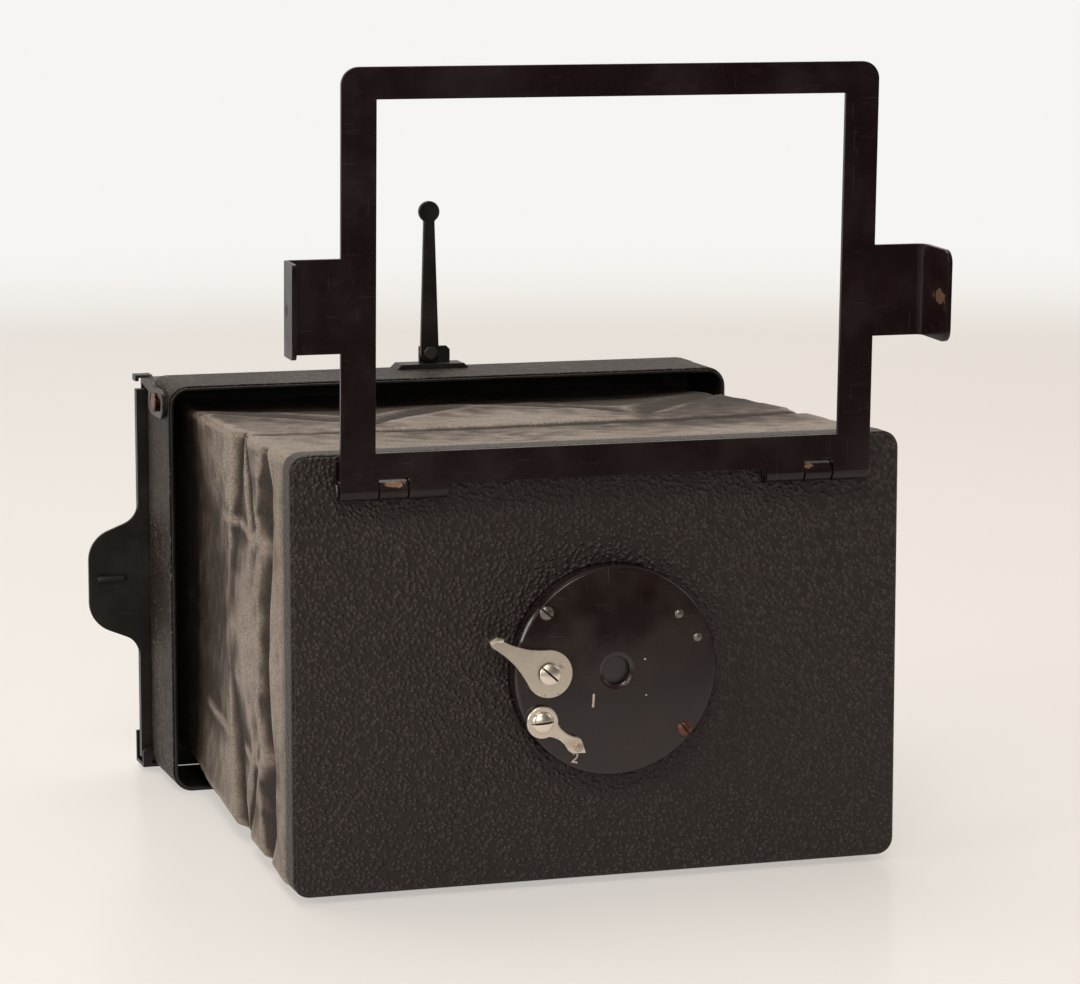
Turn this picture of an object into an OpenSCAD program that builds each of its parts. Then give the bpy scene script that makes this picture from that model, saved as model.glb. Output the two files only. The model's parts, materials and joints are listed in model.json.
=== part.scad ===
// Small folding plate camera: a shallow leather-covered back, a front board
// carried forward on knee struts inside a leather bellows, a sheet metal finder frame
// hinged on the board, a folding rear sight on the back's top edge and a metal
// plate holder with its dark slide in rails behind.
// X is to the right seen from the front, Y runs to the back and Z is up.
// The origin lies under the middle of the back, on the surface it stands on.

/* [Body] */
// Width of the back over its leather
body_w = 81.7; // [76:0.1:100]
// Height of the back over its leather
body_h = 57.1; // [54:0.1:70]
// Depth of the back from its front rim to its rear edge
body_d = 14.2; // [13.6:0.1:20]
// Radius of the back's outer corners
body_r = 2.8; // [1.5:0.1:5]
// Thickness of the back's sheet metal
metal_t = 0.4; // [0.3:0.05:0.8]
// Thickness of the leather round the back
leather_t = 0.25; // [0.2:0.05:0.6]

/* [Front board] */
// Distance that the board stands in front of the back's rim
extension = 66.7; // [50:0.1:80]
// Thickness of the board with its leather
board_t = 4; // [3.4:0.1:6]
// Gap round the board when it lies inside the back's rim
nest_gap = 0.2; // [0.1:0.05:0.5]
// Radius of the board's corners
board_r = 2.2; // [1:0.1:4]
// Thickness of the leather on the board
front_leather_t = 0.35; // [0.2:0.05:0.6]
// Thickness of the board's metal face
face_t = 0.8; // [0.6:0.1:1.2]
// Thickness of the board's turned edge
edge_t = 0.6; // [0.4:0.1:1]

/* [Finder frame] */
// Thickness of the frame's sheet
frame_t = 0.6; // [0.4:0.05:1]
// Width of the frame's window
window_w = 60.24; // [50:0.1:62]
// Width of each side bar
side_bar = 4.38; // [3:0.1:5]
// Height of the top bar
top_bar = 3.9; // [3:0.1:6]
// Height of the window's foot above the hinge
window_foot = 4.75; // [4:0.1:7]
// Radius of the frame's top corners
frame_r = 2.2; // [1:0.1:4]
// Forward lean of the opened frame, in degrees
frame_lean = 2.06; // [0:0.1:5]
// Distance of the hinge below the board's top edge
hinge_drop = 4.3; // [3.9:0.1:6]
// Distance of the hinge in front of the board
hinge_out = 1.9; // [1.9:0.05:2.4]
// Outer radius of the hinge knuckles
knuckle_r = 1.3; // [1:0.05:1.3]
// Radius of the hinge pins
pin_r = 0.55; // [0.4:0.05:0.6]
// Distance from the hinge to the middle of the frame's sheet
sheet_out = 1.1; // [1:0.05:1.3]
// Distance of each hinge from the frame's middle
hinge_x = 27.65; // [24:0.05:28]
// Length of each hinge
hinge_len = 13.7; // [12:0.1:14]
// Height of the side tabs' lower edge above the hinge
tab_foot = 17.1; // [10:0.1:24]
// Height of the side tabs
tab_h = 11.5; // [8:0.1:14]
// Depth of the left tab's turned flange
left_flange = 4.8; // [3:0.1:6]
// Depth of the right tab's turned flange
right_flange = 8.7; // [6:0.1:10]
// Gap between the flanges and the back's sides when folded
flange_gap = 0.15; // [0.13:0.01:0.4]

/* [Shutter] */
// Offset of the shutter from the board's middle line
shutter_x = 1.07; // [-3:0.05:3]
// Distance of the shutter below the board's middle
shutter_drop = 0.7; // [-2:0.05:3]
// Radius of the shutter's housing
shutter_r = 13.3; // [12.9:0.1:15]
// Height of the housing over the leather
housing_h = 2.3; // [2:0.1:3.2]
// Thickness of the shutter's cover
cover_t = 0.5; // [0.4:0.05:0.8]
// Radius of the opening in the cover
stop_r = 1.8; // [1:0.1:2.4]
// Thickness of the two levers
lever_t = 0.7; // [0.5:0.05:0.9]

/* [Rear sight] */
// Height of the sight's round head above its pivot
sight_h = 20.25; // [14:0.1:24]
// Width of the stem at the pivot
stem_w = 2.7; // [2.2:0.1:2.8]
// Width of the stem under the head
neck_w = 1.5; // [1.2:0.1:2]
// Radius of the sight's round head
head_r = 1.53; // [1.2:0.05:2]
// Thickness of the stem
stem_t = 0.8; // [0.5:0.1:1]
// Width of the sight's base
sight_base_w = 10.7; // [9:0.1:14]
// Distance of the stem's middle from the back's rear edge
sight_inset = 1.9; // [1.9:0.1:3]

/* [Plate holder] */
// Width of the glass plate
plate_w = 60; // [50:0.5:62]
// Height of the glass plate
plate_h = 45; // [36:0.5:46]
// Thickness of the glass plate
plate_t = 1.3; // [1:0.1:1.4]
// Margin of the plate that the picture opening covers
plate_margin = 1.5; // [1:0.1:3]
// Depth of the plate holder
holder_d = 3.5; // [3.4:0.1:5]
// Thickness of the dark slide's sheet
slide_t = 0.6; // [0.4:0.05:0.6]
// Length of the pull tab beyond the slide's grip bar
pull_tab = 7.15; // [6.8:0.05:10]
// Radius of the pull tab's corners
pull_r = 4.5; // [3.5:0.1:5]

/* [Struts and bellows] */
// Angle of each strut arm from straight when the camera is open
strut_lean = 34.4; // [20:0.1:38]
// Width of the strut arms
arm_w = 3; // [2.4:0.1:3]
// Thickness of the strut arms
arm_t = 0.8; // [0.6:0.05:0.9]
// Radius of the cross shafts between left and right arms
shaft_r = 0.8; // [0.6:0.05:0.9]
// Thickness of the bellows leather
bellows_t = 0.5; // [0.3:0.05:0.8]
// Gap between the bellows and the inside of the back's rim
bellows_gap = 3; // [2:0.1:3.2]

/* [Hidden] */
$fn = 48;
// Small overlap that lets a cut run past a face
cut = 1;
// How far a screw's shank reaches into its head
shank_in = 0.1;
// Radial clearance of pins and shafts in their holes
run_gap = 0.06;
wall = metal_t + leather_t;
leather_edge = 0.3;
rim_y = -body_d / 2;
back_y = body_d / 2;
mid_z = body_h / 2;
// Front board
board_w = body_w - 2 * (wall + nest_gap);
board_h = body_h - 2 * (wall + nest_gap);
board_y = rim_y - extension;
board_back = board_y + board_t;
face_y = board_y + front_leather_t;
face_back = face_y + face_t;
board_top = mid_z + board_h / 2;
light_r = 3.2;
// Finder frame, measured from its hinge
hinge_y = board_y - hinge_out;
hinge_z = board_top - hinge_drop;
fold_floor = 0.4;
frame_h = hinge_z - fold_floor;
frame_half = window_w / 2 + side_bar;
sheet_foot = 0.7;
centre_knuckle = 3.55;
knuckle_in = 1.7;
knuckle_x0 = hinge_x - knuckle_in;
knuckle_x1 = knuckle_x0 + centre_knuckle;
knuckle_gap = 0.2;
knuckle_slot = knuckle_r + 0.35;
flange_x = body_w / 2 + flange_gap;
left_bend = 0.3;
right_bend = 0.8;
left_corner = 0.5;
right_corner = 1.6;
dimple_r = 1;
dimple_tip = dimple_r / 2;
dimple_h = 0.12;
dimple_in = 2.9;
leaf_t = 0.5;
leaf_h = 3.55;
pin_head_r = 0.85;
pin_head_t = 0.4;
// Shutter: points are measured from its middle
shutter_z = mid_z - shutter_drop;
housing_y = board_y - housing_h;
cover_y = housing_y - cover_t;
housing_wall = 0.8;
floor_t = 0.5;
cover_bevel = 0.3;
stop_flare = 0.6;
flare_depth = 0.3;
cover_screw_a = [-9.2, 7.8];
cover_screw_b = [9.05, -7.95];
cover_slot_a = 25;
cover_slot_b = -40;
cover_post_r = 1.5;
cover_shank = 0.6;
rivet_at = [[8.2, 6.8], [10.7, 3.7]];
rivet_h = 0.2;
rivet_r = 0.6;
// Levers: points and arcs are measured from each lever's pivot
lever_gap = 0.1;
lever_back = cover_y - lever_gap;
lever_y = lever_back - lever_t;
screw_r = 1.1;
screw_h = 0.45;
slot_w = 0.3;
shank_r = 0.7;
head_t = 0.55;
release_at = [-9.1, 0.25];
release_r = 3;
release_head = 1.4;
release_slot = 30;
release_arm = [[0, 3], [-0.4, 3], [-5.62, 4.34], [-5.95, 4.85], [-6.95, 5.05], [-7.85, 4.55],
    [-7.45, 3.85], [-3.6, -1.2], [0, 0]];
release_tip = [[-7.85, 4.55], [-6.95, 5.05], [-5.95, 4.85], [-6.1, 4.35], [-6.95, 4.5], [-7.6, 4.15]];
release_tip_h = 0.4;
over_arc = [-0.3, 15, 12];
under_arc = [-13.17, -6.38];
selector_at = [-9.95, -5.85];
selector_r = 2.05;
selector_head = 1.43;
selector_slot = -5;
selector_turn = -36.5;
selector_len = 7.1;
selector_end = 1.05;
selector_neck = 0.62;
selector_hollow = 3.2;
neck_at = 3.3;
shield_end = 5.6;
pin_at = 5.6;
selector_pin_r = 0.6;
selector_pin_h = 0.7;
knurl_r = 0.12;
knurls = 8;
// Blade, its post and the lens
blade_at = [0, -8.5];
blade_r = 3.2;
blade_t = 0.3;
blade_gap = 0.5;
blade_y = housing_y + blade_gap;
post_r = 0.8;
eye_r = 1.6;
lens_r = 6;
lens_curve = 18;
lens_facets = 160;
mount_r = 8;
mount_len = 2.6;
mount_lip = 0.4;
// Rear sight
sight_y = back_y - sight_inset;
sight_base_t = 0.7;
sight_base_d = 4;
sight_back = 0.2;
pivot_rise = 1.45;
sight_z = body_h + sight_base_t + pivot_rise;
ear_t = 0.6;
ear_over = 0.85;
ear_side = 3.2;
ear_bevel = 0.5;
sight_gap = 0.1;
sight_pin_r = 0.6;
sight_pin_head = 0.95;
sight_pin_t = 0.4;
// Plate holder and dark slide
back_t = 0.6;
back_edge = 0.05;
back_half = body_w / 2 - back_edge;
rail_t = 0.5;
rail_foot = 0.7;
rail_lip = 4.5;
rail_round = 2;
holder_gap = 0.2;
slide_gap = 0.3;
plate_back = back_y + back_t;
holder_y = plate_back + holder_gap;
holder_end = holder_y + holder_d;
lip_y = holder_end + holder_gap;
lip_end = lip_y + rail_t;
holder_z0 = rail_foot + rail_t + slide_gap;
holder_z1 = body_h - holder_z0;
holder_left = 0.3;
holder_right = 1.35;
holder_x0 = -body_w / 2 + holder_left;
holder_x1 = body_w / 2 - holder_right;
holder_wall = 0.5;
holder_r = 1.2;
open_w = plate_w - 2 * plate_margin;
open_h = plate_h - 2 * plate_margin;
well_gap = 0.4;
slide_play = 0.1;
slide_y = holder_y + holder_wall + slide_play;
plate_y = slide_y + slide_t + 2 * slide_play;
slide_cover = 2.5;
slide_over = 9;
slide_x1 = open_w / 2 + slide_over;
press_depth = 0.2;
press_margin = 5;
press_r = 2.5;
leaf_spring_w = 40;
leaf_spring_h = 9;
leaf_spring_t = 0.1;
grip_w = 1.6;
grip_t = 1.4;
grip_gap = 0.1;
grip_x1 = holder_x0 - grip_gap;
grip_x0 = grip_x1 - grip_w;
grip_margin = 0.5;
pull_flat = 3;
pull_slope = 22;
pull_fillet = 3;
pull_drop = 0.8;
lug_in = 1.5;
lug_len = 3.4;
lug_r = 0.45;
lug_rise = 0.4;
// Guide at the left end of the lower rail
rail_out = -grip_x0 - back_half;
guide_t = 0.5;
guide_h = 2.9;
guide_r = 1;
guide_in = 0.1;
// Catch, measured from the rivet it turns on
catch_gap = 0.25;
catch_t = 0.5;
catch_x1 = -body_w / 2 - catch_gap;
catch_x0 = catch_x1 - catch_t;
catch_at = [-1.7, 54.4];
catch_eye = 5.4;
catch_r = 2;
catch_hole = 0.95;
catch_arm = [[0.4, 1.5], [2, 2.4], [4.1, 3.4], [6.6, 3.4], [9.4, 2.9], [9.9, 2.4], [9.9, 1.75],
    [7.4, 1.4], [4, 0.9]];
catch_finger = 1.9;
finger_y = [4.2, 6.4];
finger_z = [2.95, 3.4];
finger_turn = 0.9;
catch_head = 1.35;
catch_head_t = 0.4;
// Struts
pivot_drop = 5.6;
pivot_in = 2.5;
front_pivot_out = 1.75;
rear_pivot_y = back_y - pivot_in;
front_pivot_y = board_back + front_pivot_out;
upper_z = board_top - pivot_drop;
lower_z = body_h - upper_z;
arm_len = (rear_pivot_y - front_pivot_y) / 2 / cos(strut_lean);
arm_gap = 0.1;
arm_pitch = arm_t + arm_gap;
ear_beside = 5;
ear_x = open_w / 2 + ear_beside;
strut_ear_t = 0.6;
ear_r = 1.8;
knee_r = 0.7;
ear_foot = 2.5;
shaft_end = 0.2;
// Bellows: each fold lies at three distances behind the board and stands out
// by three amounts, at the corner, a way along the face and at its middle
soft_gap = 0.3;
bellows_edge = 0.4;
bellows_y0 = board_back + soft_gap;
bellows_y1 = back_y - soft_gap;
side_fold = [[0, 0, 0], [0.155, 0.112, 0.115], [0.305, 0.187, 0.201], [0.329, 0.402, 0.434],
    [0.358, 0.43, 0.462], [0.522, 0.529, 0.548], [0.752, 0.601, 0.679], [0.809, 0.796, 0.809],
    [1, 1, 1]];
side_out = [[0, 0, 0], [0.3, 0.5, 0.6], [0.1, -1.3, -1.5], [0.5, 0.7, 1], [-0.1, -0.8, -0.7],
    [0.7, 0.9, 1], [0.2, 0.3, -0.3], [-0.2, -0.9, -1], [0, 0, 0]];
top_fold = [[0, 0, 0], [0.155, 0.157, 0.157], [0.305, 0.307, 0.31], [0.329, 0.33, 0.332],
    [0.358, 0.366, 0.36], [0.522, 0.385, 0.4], [0.752, 0.405, 0.496], [0.809, 0.66, 0.7],
    [1, 1, 1]];
top_out = [[0, 0, 0], [-0.2, -0.5, -0.7], [0.4, 0.6, 0.8], [0.5, 0.8, 0.9], [0.2, -0.2, 0.1],
    [0.4, -0.9, 0.6], [0.1, -0.8, 1.9], [-0.2, 0.3, 0.9], [0, 0, 0]];
fold_steps = 3;
side_part = 0.5;
top_part = 0.74;
corner_cut = 1.5;
corner_mid = 0.35;

// Flat outline in X and Z made into a sheet from y0 back to y1
module sheet_y(y0, y1) {
    translate([0, y1, 0])
        rotate([90, 0, 0])
            linear_extrude(y1 - y0)
                children();
}

// Flat outline in Y and Z made into a sheet from x0 right to x1
module sheet_x(x0, x1) {
    translate([x0, 0, 0])
        rotate([90, 0, 90])
            linear_extrude(x1 - x0)
                children();
}

// Round bar along Y
module rod_y(y0, y1, r) {
    translate([0, y1, 0])
        rotate([90, 0, 0])
            cylinder(r = r, h = y1 - y0);
}

// Round bar along X
module rod_x(x0, x1, r) {
    translate([x0, 0, 0])
        rotate([0, 90, 0])
            cylinder(r = r, h = x1 - x0);
}

// Block between two corners
module block(x0, x1, y0, y1, z0, z1) {
    translate([x0, y0, z0])
        cube([x1 - x0, y1 - y0, z1 - z0]);
}

// Rectangle with round corners round the middle of the back's height
module panel(w, h, r) {
    translate([0, mid_z]) {
        square([w - 2 * r, h], center = true);
        square([w, h - 2 * r], center = true);
        for (x = [-1, 1])
            for (z = [-1, 1])
                translate([x * (w / 2 - r), z * (h / 2 - r)])
                    circle(r);
    }
}

// Moves what follows to the middle of the shutter, or to a point on it
module at_shutter(at = [0, 0]) {
    translate([shutter_x + at[0], 0, shutter_z + at[1]])
        children();
}

// Screw along Y with a slotted head in front of head_y and its end at end_y
module slotted_screw(head_y, end_y, r, t, shank) {
    difference() {
        union() {
            rod_y(head_y - t, head_y, r);
            rod_y(head_y - shank_in, end_y, shank);
        }
        block(-r - cut, r + cut, head_y - t - cut, head_y - t / 2, -slot_w / 2, slot_w / 2);
    }
}

module body_shell() {
    color("#1c1b1a")
        sheet_y(rim_y, back_y)
            difference() {
                panel(body_w - 2 * leather_t, body_h - 2 * leather_t, body_r - leather_t);
                panel(body_w - 2 * wall, body_h - 2 * wall, body_r - wall);
            }
}

module body_leather() {
    color("#2a2725")
        sheet_y(rim_y + leather_edge, back_y)
            difference() {
                panel(body_w, body_h, body_r);
                panel(body_w - 2 * leather_t, body_h - 2 * leather_t, body_r - leather_t);
            }
}

// One rail: a floor with its rear lip, the left end reaching out by out
module rail(out) {
    translate([0, 0, rail_foot])
        linear_extrude(rail_t)
            union() {
                translate([-back_half, back_y])
                    square([2 * back_half, lip_end - back_y]);
                if (out > 0)
                    translate([-back_half - out, back_y])
                        square([out + cut, lip_end - back_y]);
            }
    block(-back_half - out, back_half, lip_y, lip_end, rail_foot, rail_foot + rail_lip);
}

// Upright guide with a round top corner in front of the slide's lower end
module rail_guide() {
    x0 = -back_half - rail_out;
    x1 = -body_w / 2 - guide_in;
    sheet_y(back_y, back_y + guide_t) {
        translate([x0 + guide_r, rail_foot])
            square([x1 - x0 - guide_r, guide_h]);
        translate([x0, rail_foot])
            square([x1 - x0, guide_h - guide_r]);
        translate([x0 + guide_r, rail_foot + guide_h - guide_r])
            circle(guide_r);
    }
}

module back_frame() {
    color("#151414")
        difference() {
            union() {
                sheet_y(back_y, plate_back)
                    panel(2 * back_half, body_h - 2 * rail_foot, rail_round);
                rail(rail_out);
                rail_guide();
                translate([0, 0, body_h])
                    mirror([0, 0, 1])
                        rail(0);
                block(back_half - rail_t, back_half, back_y, lip_end, rail_foot, body_h - rail_foot);
            }
            block(-open_w / 2, open_w / 2, back_y - cut, plate_back + cut,
                mid_z - open_h / 2, mid_z + open_h / 2);
        }
}

// Bracket with an eye for a cross shaft; its foot lies against foot_y
module strut_ear(pivot_y, foot_y, side) {
    foot_t = side * strut_ear_t;
    difference() {
        union() {
            sheet_x(ear_x, ear_x + strut_ear_t) {
                translate([pivot_y, 0])
                    circle(ear_r);
                translate([min(pivot_y, foot_y), -ear_r])
                    square([abs(foot_y - pivot_y), 2 * ear_r]);
            }
            block(ear_x - ear_foot, ear_x + strut_ear_t, min(foot_y, foot_y + foot_t),
                max(foot_y, foot_y + foot_t), -ear_r, ear_r);
        }
        translate([0, pivot_y, 0])
            rod_x(ear_x - cut, ear_x + strut_ear_t + cut, shaft_r + run_gap);
    }
}

module four_ears(pivot_y, foot_y, side) {
    color("#2b2b2b")
        for (z = [lower_z, upper_z])
            translate([0, 0, z]) {
                strut_ear(pivot_y, foot_y, side);
                mirror([1, 0, 0])
                    strut_ear(pivot_y, foot_y, side);
            }
}

module rear_strut_ears() {
    four_ears(rear_pivot_y, back_y, -1);
}

module front_strut_ears() {
    four_ears(front_pivot_y, face_back, 1);
}

// Pair of arms on a cross shaft; lean is the angle of the arms in the YZ plane
module strut(pivot_y, pivot_z, lean, plane) {
    x1 = ear_x - arm_gap - plane * arm_pitch;
    x0 = x1 - arm_t;
    shaft_x = ear_x + strut_ear_t + shaft_end;
    translate([0, pivot_y, pivot_z]) {
        rod_x(-shaft_x, shaft_x, shaft_r);
        for (side = [0, 1])
            mirror([side, 0, 0])
                rotate([lean, 0, 0])
                    sheet_x(x0, x1)
                        difference() {
                            union() {
                                circle(arm_w / 2);
                                translate([0, -arm_w / 2])
                                    square([arm_len, arm_w]);
                                translate([arm_len, 0])
                                    circle(arm_w / 2);
                            }
                            translate([arm_len, 0])
                                circle(knee_r);
                        }
    }
}

// Flush rivets in the knee holes of a pair of arms
module knee_rivets(pivot_y, pivot_z, lean, plane) {
    x1 = ear_x - arm_gap - plane * arm_pitch;
    color("#8d8577")
        translate([0, pivot_y, pivot_z])
            for (side = [0, 1])
                mirror([side, 0, 0])
                    rotate([lean, 0, 0])
                        translate([0, arm_len, 0])
                            rod_x(x1 - arm_t, x1, knee_r);
}

module rear_upper_strut() {
    color("#4a4a4a")
        strut(rear_pivot_y, upper_z, 180 + strut_lean, 0);
}

module rear_lower_strut() {
    color("#4a4a4a")
        strut(rear_pivot_y, lower_z, 180 - strut_lean, 2);
}

module front_upper_strut() {
    color("#4a4a4a")
        strut(front_pivot_y, upper_z, -strut_lean, 1);
}

module front_lower_strut() {
    color("#4a4a4a")
        strut(front_pivot_y, lower_z, strut_lean, 3);
}

module knee_rivets_upper() {
    knee_rivets(rear_pivot_y, upper_z, 180 + strut_lean, 0);
}

module knee_rivets_lower() {
    knee_rivets(rear_pivot_y, lower_z, 180 - strut_lean, 2);
}

// Long ring with an arm behind it and a finger bent outwards from its top edge
module holder_catch() {
    y = catch_at[0];
    z = catch_at[1];
    finger_end = catch_x0 - catch_finger;
    color("#3a322c") {
        sheet_x(catch_x0, catch_x1)
            translate(catch_at)
                difference() {
                    union() {
                        for (s = [-1, 1])
                            translate([s * catch_eye / 2, 0])
                                circle(catch_r);
                        square([catch_eye, 2 * catch_r], center = true);
                        polygon(catch_arm);
                    }
                    for (s = [-1, 1])
                        translate([s * catch_eye / 2, 0])
                            circle(catch_hole);
                    square([catch_eye, 2 * catch_hole], center = true);
                }
        block(finger_end, catch_x1, y + finger_y[0], y + finger_y[1], z + finger_z[0], z + finger_z[1]);
        block(finger_end, finger_end + catch_t, y + finger_y[0], y + finger_y[1],
            z + finger_z[1] - finger_turn, z + finger_z[1]);
    }
}

module catch_rivet() {
    color("#8a4a34")
        translate([0, catch_at[0], catch_at[1]]) {
            rod_x(catch_x0 - catch_head_t, -body_w / 2, catch_hole - run_gap);
            rod_x(catch_x0 - catch_head_t, catch_x0 - run_gap, catch_head);
        }
}

// Plate on the back's top edge with bevelled ends and an ear for the pivot
module sight_base() {
    half = sight_base_w / 2;
    bevel = sight_base_t;
    ear_top = sight_z + ear_over;
    ear_y = sight_y + stem_t / 2 + sight_gap;
    color("#1b1a19")
        difference() {
            union() {
                sheet_y(sight_y - sight_base_d / 2, sight_y + sight_base_d / 2 - sight_back)
                    polygon([[-half, body_h], [half, body_h],
                        [half - bevel, body_h + sight_base_t], [-half + bevel, body_h + sight_base_t]]);
                sheet_y(ear_y, ear_y + ear_t)
                    polygon([[-stem_w / 2, body_h], [ear_side, body_h],
                        [ear_side, ear_top - ear_bevel], [ear_side - ear_bevel, ear_top],
                        [-stem_w / 2, ear_top]]);
            }
            translate([0, 0, sight_z])
                rod_y(ear_y - cut, ear_y + ear_t + cut, sight_pin_r);
        }
}

module sight_pivot() {
    front = sight_y - stem_t / 2 - sight_gap;
    rear = sight_y + stem_t / 2 + sight_gap + ear_t;
    color("#2c2a28")
        translate([0, 0, sight_z]) {
            rod_y(front - sight_pin_t, front, sight_pin_head);
            rod_y(front - sight_pin_t, rear, sight_pin_r);
        }
}

module rear_sight() {
    color("#1d1616")
        translate([0, 0, sight_z])
            sheet_y(sight_y - stem_t / 2, sight_y + stem_t / 2)
                difference() {
                    union() {
                        circle(stem_w / 2);
                        polygon([[-stem_w / 2, 0], [stem_w / 2, 0],
                            [neck_w / 2, sight_h], [-neck_w / 2, sight_h]]);
                        translate([0, sight_h])
                            circle(head_r);
                    }
                    circle(sight_pin_r + run_gap);
                }
}

// Shallow tin: picture opening in front, groove for the dark slide, well for
// the plate and a pressed field in the rear wall
module plate_holder() {
    slide_half = open_h / 2 + slide_cover;
    well_w = plate_w / 2 + well_gap;
    well_h = plate_h / 2 + well_gap;
    w = holder_x1 - holder_x0;
    color("#191818")
        difference() {
            translate([(holder_x0 + holder_x1) / 2, 0, 0])
                sheet_y(holder_y, holder_end)
                    panel(w, holder_z1 - holder_z0, holder_r);
            block(-open_w / 2, open_w / 2, holder_y - cut, slide_y,
                mid_z - open_h / 2, mid_z + open_h / 2);
            block(holder_x0 - cut, slide_x1 + slide_play, slide_y - slide_play,
                slide_y + slide_t + slide_play, mid_z - slide_half - slide_play,
                mid_z + slide_half + slide_play);
            block(-well_w, well_w, slide_y + slide_t, holder_end - holder_wall,
                mid_z - well_h, mid_z + well_h);
            translate([(holder_x0 + holder_x1) / 2, 0, 0])
                sheet_y(holder_end - press_depth, holder_end + cut)
                    panel(w - 2 * press_margin, holder_z1 - holder_z0 - 2 * press_margin, press_r);
        }
}

// Leaf bent to a shallow roof that presses the plate forward
module pressure_spring() {
    y0 = plate_y + plate_t;
    y1 = holder_end - holder_wall;
    color("#9a9a96")
        translate([0, 0, mid_z - leaf_spring_h / 2])
            linear_extrude(leaf_spring_h)
                polygon([[-leaf_spring_w / 2, y0], [0, y1 - leaf_spring_t],
                    [leaf_spring_w / 2, y0], [leaf_spring_w / 2, y0 + leaf_spring_t],
                    [0, y1], [-leaf_spring_w / 2, y0 + leaf_spring_t]]);
}

module glass_plate() {
    color("#aab5b2")
        block(-plate_w / 2, plate_w / 2, plate_y, plate_y + plate_t,
            mid_z - plate_h / 2, mid_z + plate_h / 2);
}

// Outline of the pull tab: round corners, sloping shoulders and hollow roots
module pull_outline() {
    corner_x = grip_x0 - pull_tab + pull_r;
    slope_1 = [corner_x - pull_r * sin(pull_slope), pull_flat + pull_r * cos(pull_slope)];
    root_x = grip_x0 - pull_fillet;
    slope_2x = root_x + pull_fillet * sin(pull_slope);
    slope_2 = [slope_2x, slope_1[1] + (slope_2x - slope_1[0]) * tan(pull_slope)];
    root = [root_x, slope_2[1] + pull_fillet * cos(pull_slope)];
    in_x = grip_x0 + grip_w / 2;
    difference() {
        union() {
            for (s = [-1, 1])
                translate([corner_x, s * pull_flat])
                    circle(pull_r);
            translate([grip_x0 - pull_tab, -pull_flat])
                square([pull_tab, 2 * pull_flat]);
            polygon([slope_1, slope_2, root, [in_x, root[1]], [in_x, -root[1]],
                [root[0], -root[1]], [slope_2[0], -slope_2[1]], [slope_1[0], -slope_1[1]]]);
        }
        for (s = [-1, 1])
            translate([root[0], s * root[1]])
                circle(pull_fillet);
    }
}

module dark_slide() {
    slide_half = open_h / 2 + slide_cover;
    middle = slide_y + slide_t / 2;
    color("#262322") {
        block(grip_x0 + grip_w / 2, slide_x1, slide_y, slide_y + slide_t,
            mid_z - slide_half, mid_z + slide_half);
        block(grip_x0, grip_x1, middle - grip_t / 2, middle + grip_t / 2,
            holder_z0 + grip_margin, holder_z1 - grip_margin);
        translate([0, 0, mid_z - pull_drop])
            sheet_y(slide_y, slide_y + slide_t)
                pull_outline();
    }
}

// Short wire staple on the front of the pull tab
module tab_lug() {
    color("#3b3634")
        translate([grip_x0 - pull_tab + lug_in, slide_y - lug_r, mid_z - pull_drop + lug_rise]) {
            rod_x(0, lug_len, lug_r);
            sphere(lug_r);
            translate([lug_len, 0, 0])
                sphere(lug_r);
        }
}

// Shallow pan: a face with a light hole and an edge turned back all round
module front_board() {
    color("#1a1918")
        difference() {
            sheet_y(face_y, board_back)
                panel(board_w, board_h, board_r);
            sheet_y(face_back, board_back + cut)
                panel(board_w - 2 * edge_t, board_h - 2 * edge_t, board_r - edge_t);
            at_shutter()
                rod_y(face_y - cut, face_back + cut, light_r);
        }
}

module front_leather() {
    color("#231f1e")
        difference() {
            sheet_y(board_y, face_y)
                panel(board_w - 2 * leather_edge, board_h - 2 * leather_edge, board_r - leather_edge);
            at_shutter()
                rod_y(board_y - cut, face_y + cut, shutter_r);
        }
}

// Leaf on the board with a riser to the middle knuckle of each hinge
module hinge_leaves() {
    color("#1c1919")
        for (side = [0, 1])
            mirror([side, 0, 0])
                difference() {
                    union() {
                        block(hinge_x - hinge_len / 2, hinge_x + hinge_len / 2,
                            board_y - leaf_t, board_y, hinge_z, hinge_z + leaf_h);
                        block(knuckle_x0, knuckle_x1, hinge_y, board_y,
                            hinge_z + knuckle_r - leaf_t, hinge_z + knuckle_r);
                        translate([0, hinge_y, hinge_z])
                            rod_x(knuckle_x0, knuckle_x1, knuckle_r);
                    }
                    translate([0, hinge_y, hinge_z])
                        rod_x(knuckle_x0 - cut, knuckle_x1 + cut, pin_r);
                }
}

module hinge_pins() {
    color("#7c7264")
        for (side = [0, 1])
            mirror([side, 0, 0])
                translate([0, hinge_y, hinge_z]) {
                    rod_x(hinge_x - hinge_len / 2, hinge_x + hinge_len / 2 + pin_head_t, pin_r);
                    rod_x(hinge_x + hinge_len / 2 + run_gap, hinge_x + hinge_len / 2 + pin_head_t,
                        pin_head_r);
                }
}

// Flat outline of the frame with its window, measured from the hinge
module frame_outline() {
    difference() {
        union() {
            translate([-frame_half, sheet_foot])
                square([2 * frame_half, frame_h - frame_r - sheet_foot]);
            translate([-frame_half + frame_r, sheet_foot])
                square([2 * (frame_half - frame_r), frame_h - sheet_foot]);
            for (s = [-1, 1])
                translate([s * (frame_half - frame_r), frame_h - frame_r])
                    circle(frame_r);
        }
        translate([-window_w / 2, window_foot])
            square([window_w, frame_h - top_bar - window_foot]);
        for (side = [0, 1])
            mirror([side, 0])
                translate([knuckle_x0 - knuckle_gap, 0])
                    square([knuckle_x1 - knuckle_x0 + 2 * knuckle_gap, knuckle_slot]);
    }
}

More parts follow.
